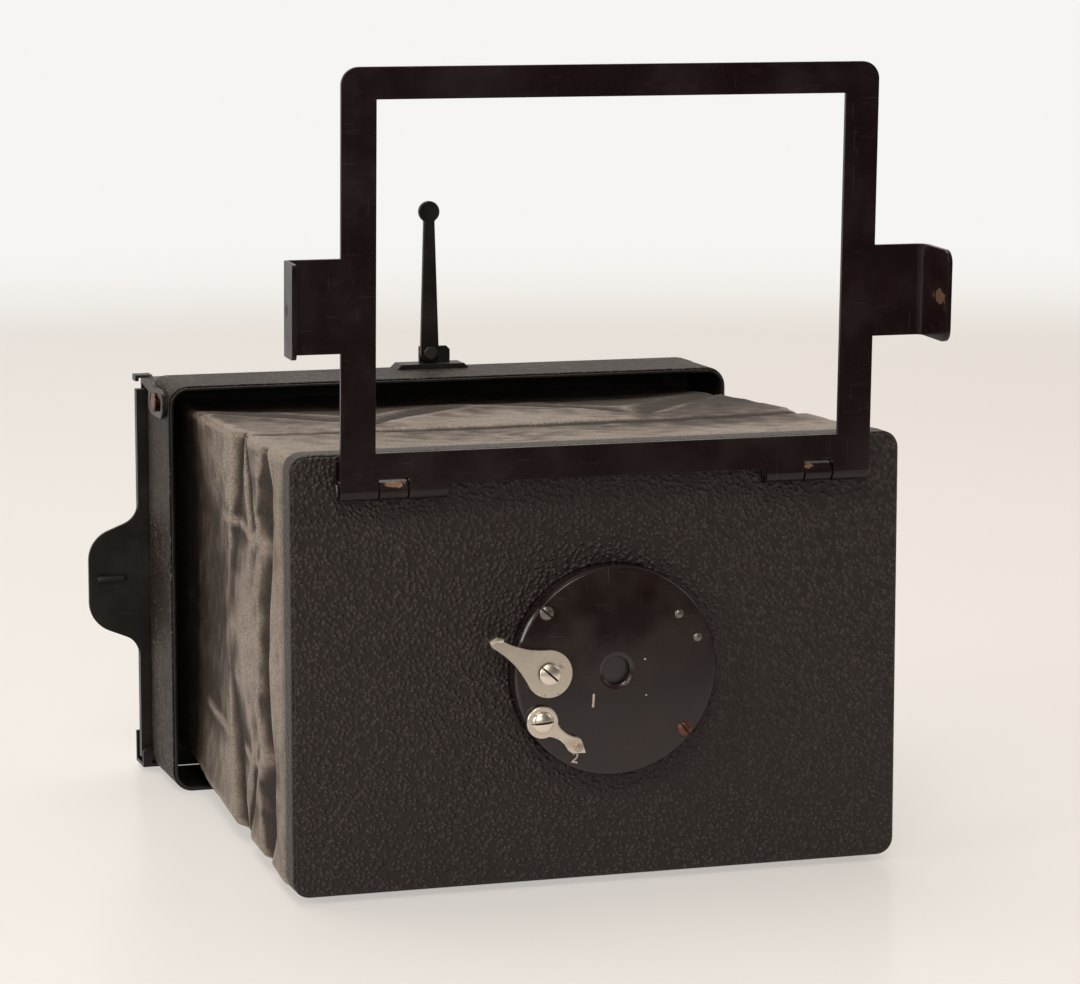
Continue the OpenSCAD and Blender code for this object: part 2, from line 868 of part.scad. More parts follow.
// Right-hand side tab: flat tab, bend and forward flange with a pressed dimple
module side_tab(depth, bend_r, flange_r) {
    y1 = -sheet_out + frame_t / 2;
    y0 = y1 - frame_t;
    bend_x = flange_x - bend_r;
    bend_y = y0 - bend_r;
    far_y = y1 - depth;
    dimple_y = y1 - min(depth / 2, dimple_in);
    dimple_z = tab_foot + tab_h / 2;
    difference() {
        union() {
            block(frame_half - side_bar / 2, bend_x, y0, y1, tab_foot, tab_foot + tab_h);
            translate([0, 0, tab_foot])
                linear_extrude(tab_h)
                    intersection() {
                        difference() {
                            translate([bend_x, bend_y])
                                circle(bend_r + frame_t);
                            translate([bend_x, bend_y])
                                circle(bend_r);
                        }
                        translate([bend_x, bend_y])
                            square(frame_t + bend_r + cut);
                    }
            sheet_x(flange_x, flange_x + frame_t) {
                translate([far_y + flange_r, tab_foot])
                    square([bend_y - far_y - flange_r, tab_h]);
                translate([far_y, tab_foot + flange_r])
                    square([bend_y - far_y, tab_h - 2 * flange_r]);
                for (z = [tab_foot + flange_r, tab_foot + tab_h - flange_r])
                    translate([far_y + flange_r, z])
                        circle(flange_r);
            }
            translate([flange_x, dimple_y, dimple_z])
                rotate([0, -90, 0])
                    cylinder(r1 = dimple_r, r2 = dimple_tip, h = dimple_h);
        }
        translate([flange_x + frame_t, dimple_y, dimple_z])
            rotate([0, -90, 0])
                cylinder(r1 = dimple_r, r2 = dimple_tip, h = dimple_h);
    }
}

// Knuckle with the strip that joins it to the sheet
module frame_knuckle(x0, x1) {
    y1 = -sheet_out + frame_t / 2;
    difference() {
        union() {
            rod_x(x0, x1, knuckle_r);
            block(x0, x1, y1 - frame_t, y1, 0, sheet_foot + cut);
        }
        rod_x(x0 - cut, x1 + cut, pin_r + run_gap);
    }
}

module finder_frame() {
    color("#241b1b")
        translate([0, hinge_y, hinge_z])
            rotate([frame_lean, 0, 0]) {
                sheet_y(-sheet_out - frame_t / 2, -sheet_out + frame_t / 2)
                    frame_outline();
                side_tab(right_flange, right_bend, right_corner);
                mirror([1, 0, 0])
                    side_tab(left_flange, left_bend, left_corner);
                for (side = [0, 1])
                    mirror([side, 0, 0]) {
                        frame_knuckle(hinge_x - hinge_len / 2, knuckle_x0 - knuckle_gap);
                        frame_knuckle(knuckle_x1 + knuckle_gap, hinge_x + hinge_len / 2);
                    }
            }
}

// Round box with two screw posts and the light hole in its floor
module shutter_housing() {
    floor_y = face_y - floor_t;
    color("#1b1a1a")
        at_shutter()
            difference() {
                union() {
                    difference() {
                        rod_y(housing_y, face_y, shutter_r);
                        rod_y(housing_y - cut, floor_y, shutter_r - housing_wall);
                    }
                    for (at = [cover_screw_a, cover_screw_b])
                        translate([at[0], 0, at[1]])
                            intersection() {
                                rod_y(housing_y, face_y, cover_post_r);
                                translate([-at[0], 0, -at[1]])
                                    rod_y(housing_y, face_y, shutter_r);
                            }
                }
                rod_y(housing_y - cut, face_y + cut, light_r);
                for (at = [cover_screw_a, cover_screw_b])
                    translate([at[0], 0, at[1]])
                        rod_y(housing_y - cut, floor_y, cover_shank);
            }
}

// Bevelled disc with the lens opening and the holes of its screws
module shutter_cover() {
    color("#101010")
        at_shutter()
            difference() {
                translate([0, housing_y, 0])
                    rotate([90, 0, 0]) {
                        cylinder(r = shutter_r, h = cover_t - cover_bevel);
                        translate([0, 0, cover_t - cover_bevel])
                            cylinder(r1 = shutter_r, r2 = shutter_r - cover_bevel, h = cover_bevel);
                    }
                rod_y(cover_y - cut, housing_y + cut, stop_r);
                translate([0, cover_y + flare_depth, 0])
                    rotate([90, 0, 0])
                        cylinder(r1 = stop_r, r2 = stop_r + stop_flare, h = flare_depth);
                for (at = [release_at, selector_at])
                    translate([at[0], 0, at[1]])
                        rod_y(cover_y - cut, housing_y + cut, shank_r);
                for (at = [cover_screw_a, cover_screw_b])
                    translate([at[0], 0, at[1]])
                        rod_y(cover_y - cut, housing_y + cut, cover_shank);
            }
}

module cover_screw_upper() {
    color("#171616")
        at_shutter(cover_screw_a)
            rotate([0, cover_slot_a, 0])
                slotted_screw(cover_y, face_y - floor_t, screw_r, screw_h, cover_shank);
}

module cover_screw_lower() {
    color("#7d4f37")
        at_shutter(cover_screw_b)
            rotate([0, cover_slot_b, 0])
                slotted_screw(cover_y, face_y - floor_t, screw_r, screw_h, cover_shank);
}

module cover_rivets() {
    color("#2a2827")
        for (at = rivet_at)
            at_shutter(at)
                rod_y(cover_y - rivet_h, cover_y, rivet_r);
}

// Tube behind the board that holds the lens against its front shoulder
module lens_mount() {
    color("#2d2a26")
        at_shutter()
            difference() {
                rod_y(face_back, face_back + mount_len, mount_r);
                rod_y(face_back - cut, face_back + mount_len + cut, lens_r - mount_lip);
                rod_y(face_back + mount_lip, face_back + mount_len - mount_lip, lens_r);
            }
}

module lens() {
    y0 = face_back + mount_lip;
    y1 = face_back + mount_len - mount_lip;
    color("#93a7a6")
        at_shutter()
            intersection() {
                rod_y(y0, y1, lens_r);
                translate([0, y1 - lens_curve, 0])
                    sphere(lens_curve, $fn = lens_facets);
            }
}

// Thin blade that covers the light hole, hung on a post
module shutter_blade() {
    color("#3a3a3c")
        at_shutter()
            sheet_y(blade_y, blade_y + blade_t)
                difference() {
                    union() {
                        circle(blade_r);
                        translate([blade_at[0] - eye_r, blade_at[1]])
                            square([2 * eye_r, -blade_at[1]]);
                        translate(blade_at)
                            circle(eye_r);
                    }
                    translate(blade_at)
                        circle(post_r + run_gap);
                }
}

module blade_post() {
    color("#8f8a80")
        at_shutter(blade_at)
            rod_y(housing_y, face_y - floor_t, post_r);
}

// Flat tear-shaped lever whose arm runs past the cover's edge to a raised tip
module release_lever() {
    head = norm(under_arc) - release_r;
    color("#b3a096")
        at_shutter(release_at) {
            sheet_y(lever_y, lever_back)
                difference() {
                    union() {
                        circle(release_r);
                        difference() {
                            polygon(release_arm);
                            translate([over_arc[0], over_arc[1]])
                                circle(over_arc[2]);
                            translate(under_arc)
                                circle(head);
                        }
                    }
                    circle(shank_r + run_gap);
                }
            sheet_y(lever_y - release_tip_h, lever_back)
                polygon(release_tip);
        }
}

module release_screw() {
    color("#c4b4ab")
        at_shutter(release_at)
            rotate([0, release_slot, 0])
                slotted_screw(lever_y - run_gap, housing_y, release_head, head_t, shank_r);
}

// Small lever: round body, hollow neck and a pointed end that shows the setting
module selector_lever() {
    color("#ad9a90")
        at_shutter(selector_at)
            sheet_y(lever_y, lever_back)
                difference() {
                    union() {
                        circle(selector_r);
                        rotate(selector_turn)
                            difference() {
                                polygon([[0, -selector_end], [shield_end, -selector_end],
                                    [selector_len, 0], [shield_end, selector_end],
                                    [0, selector_end]]);
                                for (s = [-1, 1])
                                    translate([neck_at, s * (selector_neck + selector_hollow)])
                                        circle(selector_hollow);
                            }
                    }
                    circle(shank_r + run_gap);
                }
}

// Pin with a grooved rim on the small lever's end
module selector_pin() {
    at = selector_at + pin_at * [cos(selector_turn), sin(selector_turn)];
    color("#c9bbb2")
        at_shutter(at)
            difference() {
                rod_y(lever_y - selector_pin_h, lever_y, selector_pin_r);
                for (i = [1 : knurls])
                    rotate([0, i * 360 / knurls, 0])
                        translate([selector_pin_r, 0, 0])
                            rod_y(lever_y - selector_pin_h - cut, lever_y + cut, knurl_r);
            }
}

module selector_screw() {
    color("#c4b4ab")
        at_shutter(selector_at)
            rotate([0, selector_slot, 0])
                slotted_screw(lever_y - run_gap, housing_y, selector_head, head_t, shank_r);
}

// Value between the corner, the part and the middle of a face, f running from -1 to 1
function across(values, part, f) =
    let (g = abs(f))
    g > part
        ? values[1] + (values[0] - values[1]) * (g - part) / (1 - part)
        : values[2] + (values[1] - values[2]) * g / part;

// The same value at step t between two folds
function folded(table, part, f, t) =
    let (k = min(floor(t), len(table) - 2),
        a = across(table[k], part, f),
        b = across(table[k + 1], part, f))
    a + (b - a) * (t - k);

function bellows_w(share) =
    (board_w / 2 - bellows_edge) * (1 - share) + (body_w / 2 - wall - bellows_gap) * share;

function bellows_h(share) =
    (board_h / 2 - bellows_edge) * (1 - share) + (body_h / 2 - wall - bellows_gap) * share;

function bellows_y(share) = bellows_y0 + share * (bellows_y1 - bellows_y0);

// Point on the right side and on the top of the ring at step t; f runs along the face
function side_point(t, f, inset) =
    let (share = folded(side_fold, side_part, f, t),
        reach = bellows_h(share) + folded(top_out, top_part, 1, t) - corner_cut - inset)
    [bellows_w(share) + folded(side_out, side_part, f, t) - inset, bellows_y(share), f * reach];

function top_point(t, f, inset) =
    let (share = folded(top_fold, top_part, f, t),
        reach = bellows_w(share) + folded(side_out, side_part, 1, t) - corner_cut - inset)
    [f * reach, bellows_y(share), bellows_h(share) + folded(top_out, top_part, f, t) - inset];

function corner_point(t, inset) =
    let (share = folded(side_fold, side_part, 1, t), in = corner_cut * corner_mid + inset)
    [bellows_w(share) + folded(side_out, side_part, 1, t) - in, bellows_y(share),
        bellows_h(share) + folded(top_out, top_part, 1, t) - in];

// Points of one ring of the bellows, round from the right side by the top
function bellows_ring(t, inset) =
    let (side_run = [-1, -side_part, 0, side_part, 1],
        top_run = [1, top_part, 0, -top_part, -1],
        corner = corner_point(t, inset))
    [for (p = concat(
        [for (f = side_run) side_point(t, f, inset)],
        [corner],
        [for (f = top_run) top_point(t, f, inset)],
        [[-corner[0], corner[1], corner[2]]],
        [for (f = side_run) let (q = side_point(t, -f, inset)) [-q[0], q[1], q[2]]],
        [[-corner[0], corner[1], -corner[2]]],
        [for (f = top_run) let (q = top_point(t, -f, inset)) [q[0], q[1], -q[2]]],
        [[corner[0], corner[1], -corner[2]]]))
        [p[0], p[1], mid_z + p[2]]];

module bellows() {
    folds = len(side_fold) - 1;
    steps = [for (i = [0 : folds * fold_steps]) i / fold_steps];
    n = len(steps);
    outer = [for (t = steps) bellows_ring(t, 0)];
    inner = [for (t = steps) bellows_ring(t, bellows_t)];
    m = len(outer[0]);
    points = concat([for (ring = outer) each ring], [for (ring = inner) each ring]);
    base = n * m;
    last = (n - 1) * m;
    faces = concat(
        [for (i = [0 : n - 2]) for (j = [0 : m - 1])
            let (a = i * m + j, b = i * m + (j + 1) % m)
            each [[a, a + m, b + m], [a, b + m, b]]],
        [for (i = [0 : n - 2]) for (j = [0 : m - 1])
            let (a = base + i * m + j, b = base + i * m + (j + 1) % m)
            each [[a, b + m, a + m], [a, b, b + m]]],
        [for (j = [0 : m - 1])
            let (a = j, b = (j + 1) % m)
            each [[a, b, base + b], [a, base + b, base + a]]],
        [for (j = [0 : m - 1])
            let (a = last + j, b = last + (j + 1) % m)
            each [[a, base + b, b], [a, base + a, base + b]]]);
    color("#4a423c")
        polyhedron(points, faces);
}

body_shell();
body_leather();
back_frame();
rear_strut_ears();
holder_catch();
catch_rivet();
sight_base();
sight_pivot();
rear_sight();
plate_holder();
pressure_spring();
glass_plate();
dark_slide();
tab_lug();
front_board();
front_leather();
front_strut_ears();
hinge_leaves();
hinge_pins();
finder_frame();
shutter_housing();
shutter_cover();
cover_screw_upper();
cover_screw_lower();
cover_rivets();
lens_mount();
lens();
shutter_blade();
blade_post();
release_lever();
release_screw();
selector_lever();
selector_pin();
selector_screw();
bellows();
rear_upper_strut();
rear_lower_strut();
front_upper_strut();
front_lower_strut();
knee_rivets_upper();
knee_rivets_lower();
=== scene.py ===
import bpy
import json
import math
import numpy as np
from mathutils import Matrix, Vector, noise


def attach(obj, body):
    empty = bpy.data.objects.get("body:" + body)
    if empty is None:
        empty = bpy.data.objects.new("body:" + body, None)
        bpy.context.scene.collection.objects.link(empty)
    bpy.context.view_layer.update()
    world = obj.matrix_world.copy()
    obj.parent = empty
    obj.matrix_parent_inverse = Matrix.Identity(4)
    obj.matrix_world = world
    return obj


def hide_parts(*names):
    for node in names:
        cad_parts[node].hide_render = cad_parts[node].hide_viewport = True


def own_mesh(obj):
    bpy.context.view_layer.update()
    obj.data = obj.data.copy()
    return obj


# A folding plate camera, standing open on a pale table. Metres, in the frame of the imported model.
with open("model.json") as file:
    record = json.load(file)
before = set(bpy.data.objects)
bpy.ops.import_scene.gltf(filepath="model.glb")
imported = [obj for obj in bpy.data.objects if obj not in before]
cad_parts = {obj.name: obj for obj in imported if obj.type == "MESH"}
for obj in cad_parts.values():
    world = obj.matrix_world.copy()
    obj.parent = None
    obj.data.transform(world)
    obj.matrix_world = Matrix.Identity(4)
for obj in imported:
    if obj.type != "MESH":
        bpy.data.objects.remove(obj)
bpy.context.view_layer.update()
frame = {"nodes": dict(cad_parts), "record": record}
record = frame["record"]
mm = 0.001

# Camera at the photographed angle
view = {
    "place": (-0.14999, -0.52537, 0.12054),
    "pitch": 8.42,        # degrees below level
    "yaw": 17.44,         # degrees towards +X
    "lens": 128.44,
    "sensor": 36.0,
}
bpy.ops.object.camera_add(location=view["place"],
                          rotation=(math.radians(90 - view["pitch"]), 0, math.radians(-view["yaw"])))
camera = bpy.context.object
camera.name = "view"
camera.data.lens = view["lens"]
camera.data.sensor_width = view["sensor"]
camera.data.sensor_fit = "HORIZONTAL"
camera.data.clip_start = 0.01
bpy.context.scene.camera = camera
print("camera set")


class Wire:
    # One output socket; masks and heights are written as sums of these
    def __init__(self, finish, socket):
        self.finish = finish
        self.socket = socket

    def join(self, operation, first, second):
        return self.finish.add("ShaderNodeMath", {"operation": operation}, {0: first, 1: second})

    def __add__(self, other):
        return self.join("ADD", self, other)

    def __sub__(self, other):
        return self.join("SUBTRACT", self, other)

    def __rsub__(self, other):
        return self.join("SUBTRACT", other, self)

    def __mul__(self, other):
        return self.join("MULTIPLY", self, other)

    __radd__ = __add__
    __rmul__ = __mul__

    def most(self, other):              # the larger of the two
        return self.join("MAXIMUM", self, other)

    def between(self, low, high):       # 0 below low, 1 above high, smooth between
        return self.finish.add("ShaderNodeMapRange", {"interpolation_type": "SMOOTHSTEP"},
                               {"Value": self, "From Min": low, "From Max": high})


class Finish:
    # One material: a shader and the nodes that feed it
    def __init__(self, name, color, roughness, metallic=0.0):
        self.material = bpy.data.materials.new(name)
        self.material.use_nodes = True
        self.tree = self.material.node_tree
        self.shader = self.tree.nodes["Principled BSDF"]
        self.put("Base Color", self.hue(color))
        self.put("Roughness", roughness)
        self.put("Metallic", metallic)
        self.place = None

    def feed(self, socket, value):
        if isinstance(value, Wire):
            self.tree.links.new(value.socket, socket)
        else:
            socket.default_value = value

    def put(self, name, value):
        self.feed(self.shader.inputs[name], value)

    def add(self, kind, settings=None, values=None, output=0):
        node = self.tree.nodes.new(kind)
        for key, value in (settings or {}).items():
            setattr(node, key, value)
        for key, value in (values or {}).items():
            self.feed(node.inputs[key], value)
        return Wire(self, node.outputs[output])

    def spot(self):                     # Object coordinates, shared by the whole material
        if self.place is None:
            self.place = self.add("ShaderNodeTexCoord", output="Object")
        return self.place

    def turned(self, turn=(0, 0, 0), scale=(1, 1, 1)):
        return self.add("ShaderNodeMapping", {}, {"Vector": self.spot(), "Rotation": turn,
                                                  "Scale": scale})

    def vector(self, operation, first, second=None):
        values = {0: first} if second is None else {0: first, 1: second}
        return self.add("ShaderNodeVectorMath", {"operation": operation}, values,
                        "Value" if operation == "LENGTH" else "Vector")

    def cloud(self, scale, detail=2, rough=0.5, at=None, output="Fac"):
        return self.add("ShaderNodeTexNoise", {}, {"Vector": at or self.spot(), "Scale": scale,
                                                   "Detail": detail, "Roughness": rough}, output)

    def cells(self, scale, at, smooth):
        return self.add("ShaderNodeTexVoronoi", {"feature": "SMOOTH_F1"},
                        {"Vector": at, "Scale": scale, "Smoothness": smooth})

    def axis(self, name):
        return self.add("ShaderNodeSeparateXYZ", {}, {"Vector": self.spot()}, name)

    def blend(self, mask, first, second):       # of two colours
        return self.add("ShaderNodeMix", {"data_type": "RGBA"},
                        {0: mask, 6: self.hue(first), 7: self.hue(second)}, 2)

    def shade(self, mask, first, second):       # of two values
        return self.add("ShaderNodeMix", {"data_type": "FLOAT"}, {0: mask, 2: first, 3: second}, 0)

    def hue(self, value):
        return value if isinstance(value, Wire) else (*value, 1)

    def moved(self, amount, by):        # Object coordinates pushed about by a colour noise
        return self.vector("ADD", self.spot(), self.vector("MULTIPLY", by, (amount,) * 3))

    def raised(self, height, distance, strength=1.0, under=None):
        values = {"Height": height, "Distance": distance, "Strength": strength}
        if under is not None:
            values["Normal"] = under
        return self.add("ShaderNodeBump", {}, values)


class Sky(Finish):
    # The world's own nodes, added the same way
    def __init__(self, name):
        self.world = bpy.data.worlds.new(name)
        self.world.use_nodes = True
        self.tree = self.world.node_tree
        self.shader = self.tree.nodes["Background"]


def clearPick():
    if bpy.context.mode != "OBJECT":
        bpy.ops.object.mode_set(mode="OBJECT")
    bpy.ops.object.select_all(action="DESELECT")


def pick(piece):
    clearPick()
    piece.select_set(True)
    bpy.context.view_layer.objects.active = piece


def editAll(piece):
    pick(piece)
    bpy.ops.object.mode_set(mode="EDIT")
    bpy.ops.mesh.select_mode(type="VERT")
    bpy.ops.mesh.select_all(action="SELECT")


def endEdit():
    bpy.ops.object.mode_set(mode="OBJECT")


def settle(piece):                      # place, turn and scale go into the mesh
    pick(piece)
    bpy.ops.object.transform_apply(location=True, rotation=True, scale=True)


def applied(piece, kind, **settings):
    pick(piece)
    modifier = piece.modifiers.new(kind.lower(), kind)
    for key, value in settings.items():
        setattr(modifier, key, value)
    bpy.ops.object.modifier_apply(modifier=modifier.name)


def dress(piece, finish):
    piece.data.materials.clear()
    piece.data.materials.append(finish.material)


def darker(color, share):
    return tuple(part * share for part in color)


clearPick()

# Table, sky and lamps
stage = {
    "tableSize": 24.0,
    "tableColor": (0.71, 0.68, 0.655),
    "tableRough": 0.20,
    "tableGloss": 1.20,                   # index of refraction of its varnish
    "driftScale": 0.9, "driftShare": 0.98,      # its tone wanders a little
    # white paper as it is seen: close by at the left and at the right, where a painted shadow lies, and
    # far away
    "leftPaper": (0.885, 0.845, 0.805),
    "rightPaperShadow": (0.835, 0.760, 0.690),
    "farPaper": (0.925, 0.91, 0.885),
    "leftX": -0.15, "rightX": 0.35,
    "paperLeast": 0.55,                   # its share beside the object
    "paperFrom": 0.35, "paperTo": 0.80, "paperEnd": 0.95,       # distances from the object
    # reflections find nothing pale in front of this line
    "frontEdge": -0.185, "frontSoft": 0.05,
    "frontDark": (0.030, 0.022, 0.018),
    "skySeen": (0.98, 0.97, 0.955),
    "skyLight": (1.0, 0.93, 0.86),        # a bright wall behind the object and a dim room in front
    "skyBehind": 0.75, "skyFront": 0.09, "skyTurn": 0.30,
    # name: place, aimed at, width, height, watts, colour
    "lamps": {
        "top": ((-0.05, 0.25, 0.80), (0, -0.02, 0.05), 0.7, 0.5, 4.6, (1.0, 0.97, 0.93)),
        "left": ((-0.80, -0.22, 0.36), (0, -0.03, 0.04), 0.38, 0.38, 3.4, (1.0, 0.96, 0.91)),
        "right": ((0.75, -0.25, 0.45), (0, -0.05, 0.05), 0.5, 0.5, 0.8, (1.0, 0.95, 0.90)),
        "high": ((-0.22, -0.62, 0.66), (0, -0.06, 0.05), 0.30, 0.22, 2.6, (1.0, 0.95, 0.89)),
        "front": ((-0.30, -1.15, 0.38), (0, -0.02, 0.05), 0.7, 0.35, 3.0, (1.0, 0.94, 0.87)),
    },
}


def buildTable():
    bpy.ops.mesh.primitive_plane_add(size=stage["tableSize"], location=(0, 0, 0))
    table = bpy.context.object
    table.name = "table"
    settle(table)
    top = Finish("tableTop", stage["tableColor"], stage["tableRough"])
    top.put("IOR", stage["tableGloss"])
    drift = top.cloud(stage["driftScale"], 1).between(0.35, 0.65)
    other = darker(stage["tableColor"], stage["driftShare"])
    top.put("Base Color", top.blend(drift, stage["tableColor"], other))
    # far from the object the table is plain white paper to the eye, and in what metal and glass reflect
    away = top.vector("LENGTH", top.spot())
    toEye, glossy, through = [top.add("ShaderNodeLightPath", output=kind)
                              for kind in ("Is Camera Ray", "Is Glossy Ray", "Is Transmission Ray")]
    # painted shadow: the paper is darker and warmer to the right of the object
    closeWithShadow = top.blend(top.axis("X").between(stage["leftX"], stage["rightX"]), stage["leftPaper"],
                      stage["rightPaperShadow"])
    tone = top.blend(away.between(stage["paperFrom"], stage["paperEnd"]), closeWithShadow, stage["farPaper"])
    paper = top.add("ShaderNodeEmission", {}, {"Color": tone, "Strength": 1.0})
    dark = top.add("ShaderNodeBsdfDiffuse", {}, {"Color": (*stage["frontDark"], 1)})
    share = away.between(stage["paperFrom"], stage["paperTo"]).most(stage["paperLeast"])
    front = (stage["frontEdge"] - top.axis("Y")).between(0.0, stage["frontSoft"]) * glossy
    surface = top.add("ShaderNodeMixShader", {}, {
        0: share * toEye.most(glossy).most(through), 1: Wire(top, top.shader.outputs[0]), 2: paper})
    surface = top.add("ShaderNodeMixShader", {}, {0: front, 1: surface, 2: dark})
    top.tree.links.new(surface.socket, top.tree.nodes["Material Output"].inputs["Surface"])
    dress(table, top)


def buildLight():
    sky = Sky("sky")
    bpy.context.scene.world = sky.world
    seen = sky.add("ShaderNodeLightPath", output="Is Camera Ray").most(
        sky.add("ShaderNodeLightPath", output="Is Transmission Ray"))
    toward = sky.add("ShaderNodeTexCoord", output="Generated")
    behind = sky.add("ShaderNodeSeparateXYZ", {}, {"Vector": toward}, "Y").between(
        -stage["skyTurn"], stage["skyTurn"])
    lit = sky.shade(behind, stage["skyFront"], stage["skyBehind"])
    sky.put("Strength", sky.shade(seen, lit, 1.0))
    sky.put("Color", sky.blend(seen, stage["skyLight"], stage["skySeen"]))
    for name, (place, aim, width, height, watts, color) in stage["lamps"].items():
        bpy.ops.object.light_add(type="AREA", location=place)
        lamp = bpy.context.object
        lamp.name = "lamp_" + name
        lamp.rotation_euler = (Vector(aim) - Vector(place)).to_track_quat("-Z", "Y").to_euler()
        lamp.data.shape = "RECTANGLE"
        lamp.data.size = width
        lamp.data.size_y = height
        lamp.data.energy = watts
        lamp.data.color = color
    bpy.context.scene.view_settings.view_transform = "Standard"


buildTable()
buildLight()
print("stage ready:", len(stage["lamps"]), "lamps")


# Leather with raised pebbles, a painted shade between them, and rubbed smooth on top
def pebbledLeather(name, look):
    leather = Finish(name, look["dark"], look["rough"])
    leather.put("Specular IOR Level", look["gloss"])
    wander = leather.cloud(look["cell"] * 0.4, output="Color")
    bent = leather.moved(0.35 / look["cell"], wander)
    pebble = leather.cells(look["cell"], bent, 0.25)
    lump = leather.cells(look["cell"] * 0.46, bent, 0.6)
    fine = leather.cloud(look["cell"] * 2.4, 2)
    broad = leather.cloud(look["patch"], 3, 0.6)
    small = leather.cloud(look["patch"] * 9, 3, 0.65)
    rise = (1 - pebble).between(0.35, 0.9)
    swell = (1 - lump).between(0.2, 0.9)
    height = rise * (0.85 + 0.3 * fine) + swell * 0.25 + broad * 0.4
    rubbed = (broad * 0.5 + small * 0.5).between(0.46, 0.62) * rise
    # painted shade: the colour is darker down between the pebbles and on the lower lumps
    tone = leather.blend(rise * (0.4 + 0.6 * swell), look["deep"], look["dark"])
    tone = leather.blend(rubbed * look["rub"], tone, look["light"])
    leather.put("Base Color", tone)
    leather.put("Roughness", leather.shade(rubbed, look["rough"], look["rubRough"]))
    grain = leather.raised(height, look["depth"], 1.0)
    leather.put("Normal", leather.raised(fine, look["depth"] * 0.3, 0.5, grain))
    return leather


# Black stove enamel over brass sheet: soft waves, hairlines, dust and chips down to the metal
def blackEnamel(name, look):
    paint = Finish(name, look["color"], look["rough"])
    paint.put("Specular IOR Level", look["gloss"])
    wave = paint.cloud(look["wave"], 2)
    smudge = paint.cloud(120, 4, 0.6)
    hair = paint.cloud(240, at=paint.turned((0.3, 0.5, 0.2), (1, 1, 26)))
    cross = paint.cloud(200, at=paint.turned((0.1, 0.2, 1.1), (30, 1, 1)))
    lines = hair.between(0.69, 0.73).most(cross.between(0.70, 0.74))
    pit = paint.cloud(1500, 2, 0.5).between(0.70, 0.76)
    flake = paint.cloud(look["chip"], 4, 0.7).between(look["chipFrom"], look["chipFrom"] + 0.015)
    for center, reach in look.get("rubs", ()):      # worn to the metal round these places
        away = paint.vector("SUBTRACT", paint.spot(), tuple(c * mm for c in center))
        away = paint.vector("MULTIPLY", away, tuple(1 / (r * mm) for r in reach))
        ragged = (paint.cloud(1100, 3, 0.6) - 0.5) * 1.6
        flake = flake.most((1 - paint.vector("LENGTH", away) + ragged).between(0.25, 0.55))
    tone = paint.blend(smudge.between(0.4, 0.7), look["color"], look["dust"])
    tone = paint.blend(lines * 0.35, tone, look["worn"])
    tone = paint.blend(flake, tone, look["metal"])
    paint.put("Base Color", tone)
    paint.put("Metallic", flake * 0.85)
    dim = paint.shade(smudge.between(0.3, 0.75), look["rough"], look["rough"] + 0.14)
    paint.put("Roughness", dim + lines * 0.15)
    soft = paint.raised(wave, look["waveDepth"], 0.5)
    paint.put("Normal", paint.raised(pit * -1 + flake * -2.5 - lines * 0.4, 0.00001, 0.6, soft))
    return paint


# Plated or plain metal: drawn grain, tarnish clouds and small dark pits
def metalSkin(name, look):
    metal = Finish(name, look["color"], look["rough"], 1.0)
    grain = metal.cloud(1600, 3, at=metal.turned(look["turn"], look["draw"]))
    cloud = metal.cloud(look["patch"], 4, 0.6)
    spots = metal.cloud(1300, 2).between(0.66, 0.72)
    tarnish = cloud.between(0.48, 0.72)
    tone = metal.blend(tarnish * look["tarnish"], look["color"], look["dull"])
    tone = metal.blend(spots * 0.5, tone, darker(look["dull"], 0.4))
    metal.put("Base Color", tone)
    metal.put("Roughness", metal.shade(tarnish, look["rough"], look["rough"] + 0.18) + grain * 0.08)
    metal.put("Normal", metal.raised(grain * 0.6 - spots, 0.000008, 0.5))
    return metal


